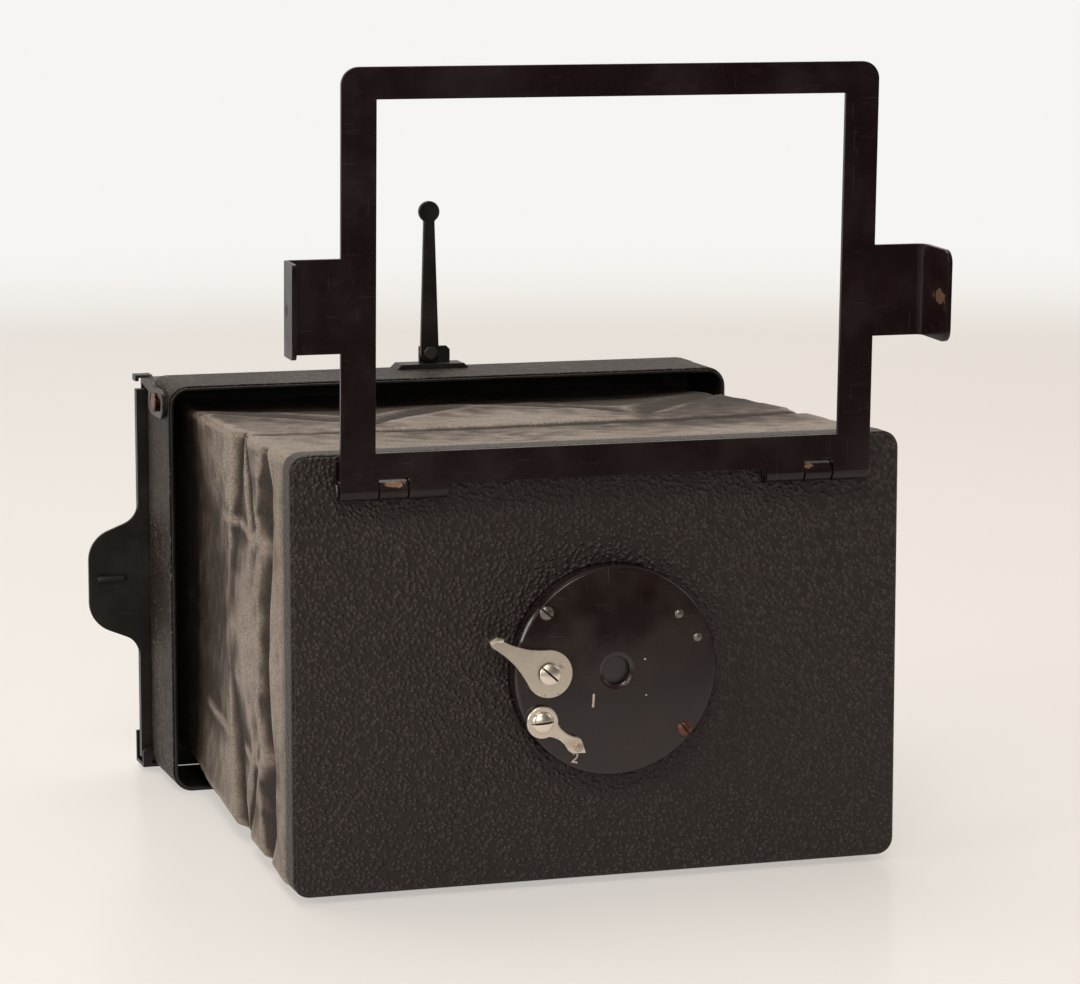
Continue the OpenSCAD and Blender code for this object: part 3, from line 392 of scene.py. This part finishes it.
finishes = {
    "board_leather": pebbledLeather("boardLeather", {
        "deep": (0.016, 0.0104, 0.0083), "dark": (0.046, 0.0305, 0.0248),
        "light": (0.055, 0.038, 0.031), "rough": 0.50, "rubRough": 0.43, "gloss": 0.34,
        "cell": 1750, "patch": 60, "rub": 0.4, "depth": 0.00024}),
    "side_leather": pebbledLeather("sideLeather", {
        "deep": (0.012, 0.0082, 0.0060), "dark": (0.036, 0.0250, 0.0185),
        "light": (0.120, 0.091, 0.070), "rough": 0.52, "rubRough": 0.44, "gloss": 0.20,
        "cell": 1700, "patch": 70, "rub": 0.85, "depth": 0.00018}),
    "frame_enamel": blackEnamel("frameEnamel", {
        "color": (0.0085, 0.0036, 0.0040), "dust": (0.0140, 0.0076, 0.0072),
        "worn": (0.06, 0.036, 0.028), "metal": (0.45, 0.27, 0.17), "rough": 0.26, "gloss": 0.30,
        "wave": 260, "waveDepth": 0.00003, "chip": 420, "chipFrom": 0.735,
        # both flanges, where they rub on the back, and the middle knuckles: place and reach in mm
        "rubs": (((40.9, -83.6, 74.3), (1.5, 2.6, 1.3)), ((-41.4, -84.2, 74.0), (1.2, 1.6, 1.3)),
                 ((-27.6, -76.7, 52.7), (2.2, 0.9, 0.5)), ((26.4, -76.7, 52.7), (0.9, 0.9, 0.5)))}),
    "black_enamel": blackEnamel("backEnamel", {
        "color": (0.0062, 0.0042, 0.0040), "dust": (0.014, 0.0105, 0.0095),
        "worn": (0.05, 0.04, 0.034), "metal": (0.42, 0.30, 0.20), "rough": 0.34, "gloss": 0.30,
        "wave": 300, "waveDepth": 0.00003, "chip": 380, "chipFrom": 0.73}),
    "gloss_black": blackEnamel("coverEnamel", {
        "color": (0.0092, 0.0042, 0.0034), "dust": (0.0170, 0.0092, 0.0074),
        "worn": (0.03, 0.024, 0.02), "metal": (0.40, 0.30, 0.22), "rough": 0.14, "gloss": 0.55,
        "wave": 200, "waveDepth": 0.00002, "chip": 600, "chipFrom": 0.77}),
    "nickel": metalSkin("wornNickel", {
        "color": (0.80, 0.71, 0.60), "dull": (0.50, 0.40, 0.31), "rough": 0.27, "turn": (0, 0, 0),
        "draw": (1, 1, 9), "patch": 320, "tarnish": 0.45}),
    "brass": metalSkin("redBrass", {
        "color": (0.15, 0.066, 0.054), "dull": (0.06, 0.030, 0.025), "rough": 0.38,
        "turn": (0, 0, 0.6), "draw": (1, 1, 5), "patch": 500, "tarnish": 0.7}),
    "spring_steel": metalSkin("springSteel", {
        "color": (0.50, 0.49, 0.47), "dull": (0.30, 0.27, 0.24), "rough": 0.33, "turn": (0, 0, 0),
        "draw": (12, 1, 1), "patch": 200, "tarnish": 0.4}),
    "dark_steel": metalSkin("darkSteel", {
        "color": (0.085, 0.078, 0.074), "dull": (0.035, 0.030, 0.027), "rough": 0.36,
        "turn": (0, 0, 0), "draw": (1, 6, 1), "patch": 300, "tarnish": 0.7}),
}


# Clear glass with a faint film of dust
def clearGlass(name, color, dust):
    glass = Finish(name, color, 0.03)
    glass.put("Transmission Weight", 1.0)
    glass.put("IOR", 1.52)
    film = glass.cloud(260, 4, 0.6)
    glass.put("Roughness", film.between(0.45, 0.8) * dust + 0.02)
    glass.put("Base Color", glass.blend(film.between(0.5, 0.9), color, darker(color, 0.93)))
    return glass


wornSteel = metalSkin("wornSteel", {
    "color": (0.20, 0.178, 0.16), "dull": (0.07, 0.058, 0.052), "rough": 0.33, "turn": (0, 0, 0),
    "draw": (1, 4, 1), "patch": 300, "tarnish": 0.6})
dullNickel = metalSkin("dullNickel", {
    "color": (0.56, 0.47, 0.38), "dull": (0.26, 0.20, 0.15), "rough": 0.30, "turn": (0, 0, 0),
    "draw": (1, 1, 5), "patch": 900, "tarnish": 0.6})
finishes["optical_glass"] = clearGlass("lensGlass", (0.90, 0.96, 0.95), 0.05)
finishes["plate_glass"] = clearGlass("plateGlass", (0.80, 0.86, 0.83), 0.2)
print("finishes ready:", len(finishes))

bodyOf = {node: body for body, nodes in record["behaviour"]["bodies"].items() for node in nodes}
slotOf = {part["node"]: part["material_slot"] for part in record["subparts"]}


# How the edges of the copies are rounded over
edges = {
    "weld": 0.000002, "sliver": 0.000001,       # metres
    "flat": 0.6, "sharp": 32, "smooth": 38,     # degrees
    "segments": 3, "weight": 100,
}


def finish(piece, node):                # finish, slot and body of the node that the piece stands for
    dress(piece, finishes[slotOf[node]])
    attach(piece, bodyOf[node])


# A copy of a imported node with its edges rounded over, for what catches the light
def softened(node, width):
    piece = bpy.data.objects.new(node + "_soft", frame["nodes"][node].data.copy())
    bpy.context.scene.collection.objects.link(piece)
    editAll(piece)
    bpy.ops.mesh.remove_doubles(threshold=edges["weld"])
    bpy.ops.mesh.dissolve_limited(angle_limit=math.radians(edges["flat"]))
    endEdit()
    applied(piece, "BEVEL", width=width * mm, segments=edges["segments"], limit_method="ANGLE",
            angle_limit=math.radians(edges["sharp"]), use_clamp_overlap=True)
    editAll(piece)                      # no slivers where two roundings meet
    bpy.ops.mesh.dissolve_degenerate(threshold=edges["sliver"])
    endEdit()
    pick(piece)
    bpy.ops.object.shade_smooth_by_angle(angle=math.radians(edges["smooth"]))
    applied(piece, "WEIGHTED_NORMAL", keep_sharp=True, weight=edges["weight"])
    finish(piece, node)
    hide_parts(node)


# Rounding in millimetres of the edges of each piece that shows
roundings = {
    "front_leather": 0.28, "front_board": 0.30, "body_leather": 0.30, "body_shell": 0.14,
    "back_frame": 0.15, "finder_frame": 0.10, "hinge_leaves": 0.10, "hinge_pins": 0.12,
    "rear_sight": 0.14, "sight_base": 0.12, "sight_pivot": 0.12, "holder_catch": 0.12,
    "catch_rivet": 0.14, "plate_holder": 0.16, "dark_slide": 0.14, "shutter_housing": 0.15,
    "shutter_cover": 0.10, "release_lever": 0.26, "selector_lever": 0.24, "selector_pin": 0.14,
    "lens_mount": 0.12, "tab_lug": 0.04,
}
for node, width in roundings.items():
    softened(node, width)
# the pebbled leather of the board is pulled over the pan's edge
dress(bpy.data.objects["front_board_soft"], finishes["board_leather"])
dress(bpy.data.objects["selector_pin_soft"], dullNickel)

# Domed heads of screws and rivets, in millimetres, with the turn of the slot in degrees
heads = {
    "cover_screw_upper": [
        {"across": -8.13, "up": 35.65, "radius": 0.92, "seat": -76.58, "front": -76.98, "turn": 40}],
    "cover_screw_lower": [
        {"across": 10.12, "up": 19.90, "radius": 0.98, "seat": -76.58, "front": -76.98, "turn": 52}],
    "release_screw": [
        {"across": -8.03, "up": 28.10, "radius": 1.38, "seat": -77.72, "front": -78.16, "turn": 42}],
    "selector_screw": [
        {"across": -8.88, "up": 22.00, "radius": 1.43, "seat": -77.36, "front": -78.02, "turn": -4}],
    "cover_rivets": [
        {"across": 9.27, "up": 34.65, "radius": 0.58, "seat": -76.58, "front": -76.86, "turn": None},
        {"across": 11.77, "up": 31.55, "radius": 0.58, "seat": -76.58, "front": -76.86, "turn": None}],
}
headLook = {
    "slotWidth": 0.26, "slotDepth": 0.24,
    "slotReach": 2.4,                   # length of the cutter in radii
    "slotHalf": 0.1326, "slotFrom": 0.02,     # faces nearer its line and deeper than this are made dark
    "gap": 0.01,                        # between the flat back of a head and its seat
    "smooth": 35,
}


def domedHead(name, look):
    x, back, front, z = [look[key] * mm for key in ("across", "seat", "front", "up")]
    clearPick()
    bpy.ops.mesh.primitive_uv_sphere_add(segments=48, ring_count=24, radius=1, location=(x, back, z),
                                         rotation=(math.radians(90), 0, 0))
    head = bpy.context.object
    head.name = name
    head.scale = (look["radius"] * mm, look["radius"] * mm, (look["seat"] - look["front"]) * mm)
    settle(head)
    editAll(head)
    bpy.ops.mesh.bisect(plane_co=(x, back - headLook["gap"] * mm, z), plane_no=(0, 1, 0),
                        use_fill=True, clear_outer=True, threshold=0.0000001)
    bpy.ops.mesh.select_all(action="SELECT")
    bpy.ops.mesh.normals_make_consistent(inside=False)
    endEdit()
    if look["turn"] is not None:
        clearPick()
        bpy.ops.mesh.primitive_cube_add(size=1, location=(x, front, z),
                                        rotation=(0, math.radians(look["turn"]), 0))
        cutter = bpy.context.object
        cutter.scale = (look["radius"] * headLook["slotReach"] * mm, headLook["slotDepth"] * 2 * mm,
                        headLook["slotWidth"] * mm)
        settle(cutter)
        applied(head, "BOOLEAN", operation="DIFFERENCE", object=cutter, solver="EXACT")
        bpy.data.objects.remove(cutter)
    pick(head)
    bpy.ops.object.shade_smooth_by_angle(angle=math.radians(headLook["smooth"]))
    return head


def darkenSlot(head, look, darkFinish):        # darkens the faces inside the slot
    head.data.materials.append(darkFinish.material)
    front = Vector((look["across"] * mm, look["front"] * mm, look["up"] * mm))
    turn = math.radians(look["turn"])
    line = Vector((math.sin(turn), 0, math.cos(turn)))
    for face in head.data.polygons:
        middle = face.center - front
        if abs(middle.dot(line)) < headLook["slotHalf"] * mm and middle.y > headLook["slotFrom"] * mm:
            face.material_index = 1


slotDark = Finish("slotDark", (0.010, 0.0075, 0.006), 0.75)
for node, looks in heads.items():
    made = [domedHead("%s_head_%d" % (node, number + 1), look) for number, look in enumerate(looks)]
    head = made[0]
    if len(made) > 1:
        pick(head)
        for other in made[1:]:
            other.select_set(True)
        bpy.ops.object.join()
    finish(head, node)
    if node in ("cover_screw_upper", "cover_rivets"):
        dress(head, wornSteel)
    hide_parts(node)
    if looks[0]["turn"] is not None:
        darkenSlot(head, looks[0], slotDark)
for node, piece in frame["nodes"].items():
    if node not in roundings and node not in heads and node != "bellows":
        dress(piece, finishes[slotOf[node]])
print("packed pieces dressed")


# The bellows: a sheet of leather wrapped into a box, creased across its faces and into its corners
bellowsLook = {
    "front": -69.7, "rear": 6.9,        # along Y
    "middle": 28.55,
    "halfFront": (39.6, 27.2), "halfRear": (37.1, 24.8),
    "round": 0.9,                       # radius of the long corners
    "wall": 0.45,
    "soft": 0.34,                       # half the width that a fold is rounded over
    "rows": 200, "topColumns": 68, "sideColumns": 52,
    "crowd": 0.32,                      # how much closer the columns are together near a corner
    # distances from the corner at which the places and heights of the next two tables hold
    "sideAt": (0, 5, 9, 13, 20, 27), "topAt": (0, 6, 12, 20, 28, 38),
    # each fold: how far behind the board it runs, how far it stands out, and how rubbed it is, with
    # painted shade in the valleys and near the rim at the back
    "sideFolds": (
        ((0, 0, 0, 0, 0, 0), (0, 0, 0, 0, 0, 0), (0.6, 0.5, 0.6, 0.6, 0.6, 0.6)),
        ((2.5, 2.5, 2.5, 2.5, 2.5, 2.5), (0.3, 0.3, 0.3, 0.3, 0.3, 0.3),
         (0.8, 0.75, 0.8, 0.8, 0.85, 0.9)),
        ((10.0, 6.0, 6.2, 5.8, 8.4, 9.3), (0.3, 0.3, 0.3, 0.35, 0.4, 0.4),
         (0.9, 0.6, 0.6, 0.6, 0.9, 1.0)),
        ((11.4, 8.4, 8.4, 8.0, 10.6, 11.2), (-0.1, -0.4, -0.4, -0.2, -0.4, -0.4),
         (0.5, 0.35, 0.35, 0.35, 0.4, 0.4)),
        ((12.4, 12.5, 13.0, 11.5, 13.0, 13.6), (-0.6, -1.5, -1.5, -1.2, -1.5, -1.6),
         (0, 0, 0, 0, 0, 0)),
        ((13.4, 16.6, 17.0, 13.6, 16.0, 16.4), (-0.2, -0.4, -0.4, -0.3, -0.4, -0.4),
         (0.5, 0.3, 0.25, 0.3, 0.2, 0.15)),
        ((14.6, 18.0, 18.4, 15.8, 18.0, 17.8), (0.4, 0.0, 0.0, 0.1, 0.1, 0.1),
         (1.0, 0.9, 0.6, 0.7, 0.7, 0.9)),
        ((24.0, 21.0, 19.6, 17.2, 20.0, 20.0), (0.2, 0.0, 0.0, 0.0, 0.2, 0.2),
         (0.5, 0.4, 0.6, 0.8, 0.75, 0.9)),
        ((27.2, 23.0, 20.8, 18.0, 21.0, 21.2), (-0.7, -0.5, -0.4, -0.1, 0.2, 0.2),
         (0.1, 0.1, 0.3, 0.7, 0.75, 0.9)),
        ((28.0, 25.0, 23.0, 20.5, 26.0, 26.6), (-0.5, 0.3, 0.3, 0.3, 0.4, 0.4),
         (0.2, 0.8, 0.85, 0.9, 0.75, 1.0)),
        ((28.8, 30.6, 32.0, 32.8, 35.4, 36.5), (-1.1, -0.9, -0.9, -0.8, -0.3, 0.0),
         (0, 0, 0, 0, 0.3, 0.55)),
        ((32.0, 33.6, 34.6, 35.6, 37.4, 39.0), (0.5, 0.4, 0.3, 0.2, 0.0, -0.1),
         (1.0, 0.95, 1.0, 0.75, 0.5, 0.45)),
        ((43, 43, 43, 43, 43, 43), (0.3, 0.0, -0.3, -0.4, -0.6, -0.7), (0.6, 0.7, 0.7, 0.6, 0.25, 0.2)),
        ((54, 54, 53, 50, 52, 54), (0.2, -0.2, -0.5, -0.8, -1.0, -1.1),
         (0.4, 0.5, 0.4, 0.25, 0.1, 0.1)),
        ((62, 62, 62, 62, 62, 62), (-0.2, -0.6, -0.9, -1.1, -1.1, -1.2),
         (0.1, 0.1, 0.1, 0.1, 0.1, 0.1)),
        ((76.6, 76.6, 76.6, 76.6, 76.6, 76.6), (0, 0, 0, 0, 0, 0), (0, 0, 0, 0, 0, 0)),
    ),
    "topFolds": (
        ((0, 0, 0, 0, 0, 0), (0, 0, 0, 0, 0, 0), (0.6, 0.6, 0.6, 0.6, 0.6, 0.6)),
        ((2.5, 2.5, 2.5, 2.5, 2.5, 2.5), (0.25, 0.3, 0.3, 0.3, 0.3, 0.3),
         (0.9, 0.85, 0.8, 0.8, 0.8, 0.8)),
        ((12, 12, 12, 12, 12, 12), (-0.1, -0.1, -0.1, -0.1, -0.2, -0.2),
         (1.0, 0.85, 0.8, 0.75, 0.75, 0.75)),
        ((23.5, 23.5, 23.5, 23.5, 23.2, 23.0), (0.2, 0.1, 0.0, -0.1, -0.1, -0.1),
         (0.9, 0.6, 0.5, 0.5, 0.5, 0.5)),
        ((25.8, 25.6, 25.8, 26.0, 26.0, 26.0), (-0.1, -0.2, -0.4, -0.5, -0.5, -0.5),
         (0.1, 0, 0, 0, 0, 0)),
        ((27.4, 27.2, 27.4, 27.6, 27.6, 27.6), (0.3, 0.2, 0.1, 0.0, 0.1, 0.1),
         (0.7, 0.6, 0.6, 0.8, 1.0, 1.05)),
        ((56, 47, 41, 34, 41, 49), (0.1, 0.3, 0.2, 0.0, 0.4, 0.5), (0.6, 0.6, 0.6, 0.6, 0.75, 0.7)),
        ((58, 51, 45, 36.5, 46, 55), (-0.2, -0.2, -0.4, -0.6, -0.3, 0.1),
         (0.1, 0.1, 0.0, 0.0, 0.1, 0.3)),
        ((60, 56, 51, 43, 52, 58.5), (0.0, 0.1, 0.1, 0.1, 0.0, -0.1), (0.4, 0.5, 0.7, 0.8, 0.6, 0.4)),
        ((66, 65, 65, 65, 65, 65), (-0.3, -0.6, -0.8, -0.9, -0.9, -0.9),
         (0.1, 0.1, 0.1, 0.1, 0.1, 0.1)),
        ((76.6, 76.6, 76.6, 76.6, 76.6, 76.6), (0, 0, 0, 0, 0, 0), (0, 0, 0, 0, 0, 0)),
    ),
    "topRight": (2, 22, 10, 20, 0.3),   # darker to the right of X 2 to 22, behind 10 to 20
    "topRimShadow": (30, 58, 0.8),           # painted shadow of the body's rim: the top darkens between these distances
    # pressed lines along the sides: height, from, to, how high they stand
    "sidePress": ((42.6, 15, 43, 0.16), (13.0, 17, 31, 0.14), (13.6, 38, 60, 0.12)),
    "pressWidth": 0.45, "pressEnd": 2, "pressRub": 0.4,
    # small wrinkles: how fast they change around and along the bellows, height, and where they start
    "wrinkles": ((0.10, 0.16, 0.20, (0, 0, 0)), (0.33, 0.42, 0.09, (5, 1, 9))),
    "calmEnd": 4, "calmCorner": 0.5,    # they die away this near both ends, and halve at corners
    "crestHeight": 0.14, "crestMost": 0.5, "crestRounds": 2,
    # the deep colour stands partly for painted shade, the light colour partly for painted sheen
    "deep": (0.022, 0.0160, 0.0125), "mid": (0.068, 0.051, 0.0395), "light": (0.208, 0.165, 0.129),
    "rough": 0.62, "rubRough": 0.42, "gloss": 0.14, "coat": 0.3, "coatRough": 0.38, "depth": 0.12,
}


def foldShape(look, which, fromCorner, behind):
    # How far the leather stands out of its plain box at a place on a face, and how rubbed it is there,
    # painted shade and sheen included
    folds = look[which + "Folds"]
    stations = look[which + "At"]
    places, heights, rubs = [np.array([np.interp(fromCorner, stations, fold[part]) for fold in folds])
                             for part in range(3)]
    out = np.zeros(len(behind))
    rubbed = np.zeros(len(behind))
    shifts = (-1, -0.5, 0, 0.5, 1)      # the mean over these rounds each fold
    for shift in shifts:
        at = behind + shift * look["soft"]
        for i in range(len(folds) - 1):
            inside = (at >= places[i]) & (at < places[i + 1])
            part = (at - places[i]) / np.maximum(places[i + 1] - places[i], 0.01)
            out += np.where(inside, heights[i] + (heights[i + 1] - heights[i]) * part, 0)
            rubbed += np.where(inside, rubs[i] + (rubs[i + 1] - rubs[i]) * part, 0)
    return out / len(shifts), rubbed / len(shifts)


def bellowsPlaces(look, flat, columns):
    # From a flat sheet with corners at -1 and 1 to the folded box, in millimetres, with how rubbed it
    # is, painted shade and painted sheen included.
    # Its columns go round the box: the top, then the right side, the bottom and the left side.
    top, right, bottom, left = range(4)
    column = np.round((flat[:, 0] + 1) / 2 * columns).astype(int) % columns
    ends = np.cumsum([0] + [look["topColumns"], look["sideColumns"]] * 2)
    face = np.searchsorted(ends, column, side="right") - 1
    part = (column - ends[face]) / (ends[face + 1] - ends[face]) * 2 - 1
    part = part * (1 + look["crowd"] - look["crowd"] * part * part)
    length = look["rear"] - look["front"]
    behind = (1 - flat[:, 1]) / 2 * length
    share = behind / length
    half = [look["halfFront"][i] + (look["halfRear"][i] - look["halfFront"][i]) * share for i in (0, 1)]
    none = np.zeros(len(behind))
    wide = half[0] + foldShape(look, "side", none, behind)[0]
    tall = half[1] + foldShape(look, "top", none, behind)[0]
    level = (face == top) | (face == bottom)
    reach = np.where(level, wide, tall) * (1 - np.abs(part))
    topOut, topRubAndShade = foldShape(look, "top", reach, behind)
    sideOut, sideRubAndShade = foldShape(look, "side", reach, behind)
    # painted shadow: the top darkens towards the back under the body's rim, and is also darker to the
    # right
    first, last, loss = look["topRimShadow"]
    fade = np.clip((behind - first) / (last - first), 0, 1)
    topRubAndShade = topRubAndShade * (1 - loss * fade * fade * (3 - 2 * fade))
    nearX, farX, nearY, farY, less = look["topRight"]
    toRight = np.clip((part * wide - nearX) / (farX - nearX), 0, 1)
    toBack = np.clip((behind - nearY) / (farY - nearY), 0, 1)
    topRubAndShade = topRubAndShade - less * toRight * toBack * (face == top)
    out = np.where(level, half[1] + topOut, half[0] + sideOut)
    rubbed = np.where(level, topRubAndShade, sideRubAndShade)
    sign = np.where((face == top) | (face == right), 1, -1)
    along = part * np.where(level, wide, tall) * np.where((face == top) | (face == left), 1, -1)
    x = np.where(level, along, sign * out)
    z = np.where(level, sign * out, along)
    # long corners rounded over
    innerX = wide - look["round"]
    innerZ = tall - look["round"]
    overX = np.abs(x) - innerX
    overZ = np.abs(z) - innerZ
    corner = (overX > 0) & (overZ > 0)
    radius = np.where(level, overZ, overX)
    over = np.maximum(np.hypot(overX, overZ), 0.001)
    x = np.where(corner, np.sign(x) * (innerX + overX / over * radius), x)
    z = np.where(corner, np.sign(z) * (innerZ + overZ / over * radius), z)
    # pressed lines and small wrinkles, dying out at both ends of the leather
    push = none.copy()
    for height, start, stop, rise in look["sidePress"]:
        near = np.exp(-((z + look["middle"] - height) / look["pressWidth"]) ** 2)
        within = np.clip((behind - start) / look["pressEnd"], 0, 1) * np.clip(
            (stop - behind) / look["pressEnd"], 0, 1)
        push += np.where(level, 0, near * within * rise)
        rubbed += np.where(level, 0, near * within * look["pressRub"])
    calm = np.clip(np.minimum(behind, length - behind) / look["calmEnd"], 0, 1)
    for around, down, rise, start in look["wrinkles"]:
        for i in range(len(push)):
            place = Vector((x[i] * around, behind[i] * down, z[i] * around)) + Vector(start)
            push[i] += rise * noise.noise(place) * calm[i]
    push = sign * push * np.where(corner, look["calmCorner"], 1.0)
    x = x + np.where(level, 0, push)
    z = z + np.where(level, push, 0)
    places = np.stack([x, look["front"] + behind, z + look["middle"]], axis=1)
    return places, np.clip(rubbed, 0, 1)


def buildBellows(look):
    columns = 2 * (look["topColumns"] + look["sideColumns"])
    clearPick()
    bpy.ops.mesh.primitive_grid_add(x_subdivisions=columns, y_subdivisions=look["rows"], size=2)
    piece = bpy.context.object
    piece.name = "bellows_leather"
    mesh = piece.data
    flat = np.empty(len(mesh.vertices) * 3)
    mesh.vertices.foreach_get("co", flat)
    places, rubbed = bellowsPlaces(look, flat.reshape(-1, 3), columns)
    mesh.vertices.foreach_set("co", (places * mm).ravel())
    wearAndPaintedLight = mesh.attributes.new("wearAndPaintedLight", "FLOAT", "POINT")
    wearAndPaintedLight.data.foreach_set("value", rubbed)
    mesh.update()
    editAll(piece)
    bpy.ops.mesh.remove_doubles(threshold=0.00001)
    bpy.ops.mesh.normals_make_consistent(inside=False)
    endEdit()
    return piece


# Adds to the rubbed value where the leather is bent outwards, partly a painted highlight on the crests,
# and takes off where it is bent inwards, a painted shade in the creases.
# The lining has none.
def markCrests(piece, look):
    mesh = piece.data
    count = len(mesh.vertices)
    place = np.empty(count * 3)
    mesh.vertices.foreach_get("co", place)
    place = place.reshape(-1, 3)
    normal = np.empty(count * 3)
    mesh.vertices.foreach_get("normal", normal)
    normal = normal.reshape(-1, 3)
    ends = np.empty(len(mesh.edges) * 2, dtype=int)
    mesh.edges.foreach_get("vertices", ends)
    ends = ends.reshape(-1, 2)
    mean = place.copy()
    for turn in range(look["crestRounds"]):
        total = np.zeros_like(place)
        number = np.zeros(count)
        for here, there in ((0, 1), (1, 0)):
            np.add.at(total, ends[:, here], mean[ends[:, there]])
            np.add.at(number, ends[:, here], 1)
        mean = total / number[:, None]
    crestLightCreaseShade = ((place - mean) * normal).sum(axis=1) / (look["crestHeight"] * mm)
    crestLightCreaseShade = np.clip(crestLightCreaseShade, -look["crestMost"], look["crestMost"])
    wearAndPaintedLight = mesh.attributes["wearAndPaintedLight"]
    rubbed = np.empty(count)
    wearAndPaintedLight.data.foreach_get("value", rubbed)
    outward = place - np.array([0, 0, look["middle"] * mm])
    lining = (outward[:, 0] * normal[:, 0] + outward[:, 2] * normal[:, 2]) < 0
    wearAndPaintedLight.data.foreach_set("value", np.where(lining, -1, np.clip(rubbed + crestLightCreaseShade, 0, 1)))


def bellowsFinish(look):
    leather = Finish("bellowsLeather", look["mid"], 0.5)
    leather.put("Specular IOR Level", look["gloss"])
    wearAndPaintedLight = leather.add("ShaderNodeAttribute", {"attribute_name": "wearAndPaintedLight"}, {}, 2)
    grain = leather.cells(2600, leather.moved(0.0002, leather.cloud(900, output="Color")), 0.5)
    creases = leather.add("ShaderNodeTexVoronoi", {"feature": "DISTANCE_TO_EDGE"}, {
        "Vector": leather.turned(scale=(1, 0.55, 1)), "Scale": 1350}).between(0.0, 0.09)
    broad = leather.cloud(42, 4, 0.55)
    small = leather.cloud(300, 4, 0.65)
    scuff = leather.cloud(420, 4, 0.6, leather.turned(scale=(1, 1, 0.22)))
    worn = wearAndPaintedLight + (broad - 0.5) * 0.4 + (scuff - 0.5) * 0.45 + (small - 0.5) * 0.35
    worn = worn.between(-0.15, 1.15)
    # the deep tone, in the valleys and towards the rim at the back, is partly painted shade; the light
    # tone on the ridges is partly painted sheen, the rest is rubbed leather
    tone = leather.blend(worn.between(0.0, 0.5), look["deep"], look["mid"])
    tone = leather.blend(worn.between(0.3, 1.05), tone, look["light"])
    leather.put("Base Color", leather.blend((1 - creases) * 0.5, tone, look["mid"]))
    leather.put("Roughness", leather.shade(worn, look["rough"], look["rubRough"]) + small * 0.06)
    leather.put("Coat Weight", worn * worn * look["coat"])
    leather.put("Coat Roughness", look["coatRough"])
    height = (1 - grain) * 0.7 + creases * 0.7 + small * 0.6
    leather.put("Normal", leather.raised(height, look["depth"] * mm, 0.9))
    return leather


finishes["bellows_leather"] = bellowsFinish(bellowsLook)
bellows = buildBellows(bellowsLook)
applied(bellows, "SOLIDIFY", thickness=bellowsLook["wall"] * mm, offset=-1)
pick(bellows)
bpy.ops.object.shade_smooth()
markCrests(bellows, bellowsLook)
finish(bellows, "bellows")
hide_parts("bellows")
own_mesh(bellows)
print("bellows made:", len(bellows.data.polygons), "faces")

# Painted marks on the shutter cover, beside the two rest places of the small lever
marksLook = {
    "face": -76.62, "middle": (1.07, 27.85), "thick": 0.012, "bold": 0.03,
    "digits": (("1", -3.1, -3.7, 2.4, 4), ("2", -5.5, -10.8, 1.9, 14)),   # text, across, up, size, tilt
    "dots": ((3.7, 1.3, 0.13), (3.9, -3.3, 0.13)), "dotThick": 0.03,      # across, up, radius
    "color": (0.46, 0.38, 0.32), "worn": (0.16, 0.13, 0.11),
}


def buildMarks(look):
    paint = Finish("markPaint", look["color"], 0.5)
    thin = paint.cloud(2600, 3, 0.6).between(0.5, 0.72)
    paint.put("Base Color", paint.blend(thin, look["color"], look["worn"]))
    paint.put("Normal", paint.raised(paint.cloud(4000, 2), 0.000008, 0.6))
    centerX, centerZ = look["middle"]
    for text, across, up, size, tilt in look["digits"]:
        clearPick()
        place = ((centerX + across) * mm, look["face"] * mm, (centerZ + up) * mm)
        bpy.ops.object.text_add(rotation=(math.radians(90), math.radians(tilt), 0), location=place)
        mark = bpy.context.object
        mark.name = "mark_" + text
        mark.data.body = text
        mark.data.align_x = "CENTER"
        mark.data.align_y = "CENTER"
        mark.data.size = size * mm
        mark.data.extrude = look["thick"] * mm
        mark.data.offset = look["bold"] * mm
        bpy.ops.object.convert(target="MESH")
        mark = bpy.context.object
        settle(mark)
        editAll(mark)
        bpy.ops.mesh.remove_doubles(threshold=0.000001)
        endEdit()
        dress(mark, paint)
        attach(mark, "front")
    for number, (across, up, radius) in enumerate(look["dots"]):
        clearPick()
        place = ((centerX + across) * mm, look["face"] * mm, (centerZ + up) * mm)
        bpy.ops.mesh.primitive_cylinder_add(vertices=20, radius=radius * mm, location=place,
                                            depth=look["dotThick"] * mm,
                                            rotation=(math.radians(90), 0, 0))
        dot = bpy.context.object
        dot.name = "dot_%d" % (number + 1)
        settle(dot)
        dress(dot, paint)
        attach(dot, "front")


buildMarks(marksLook)
print("marks made")
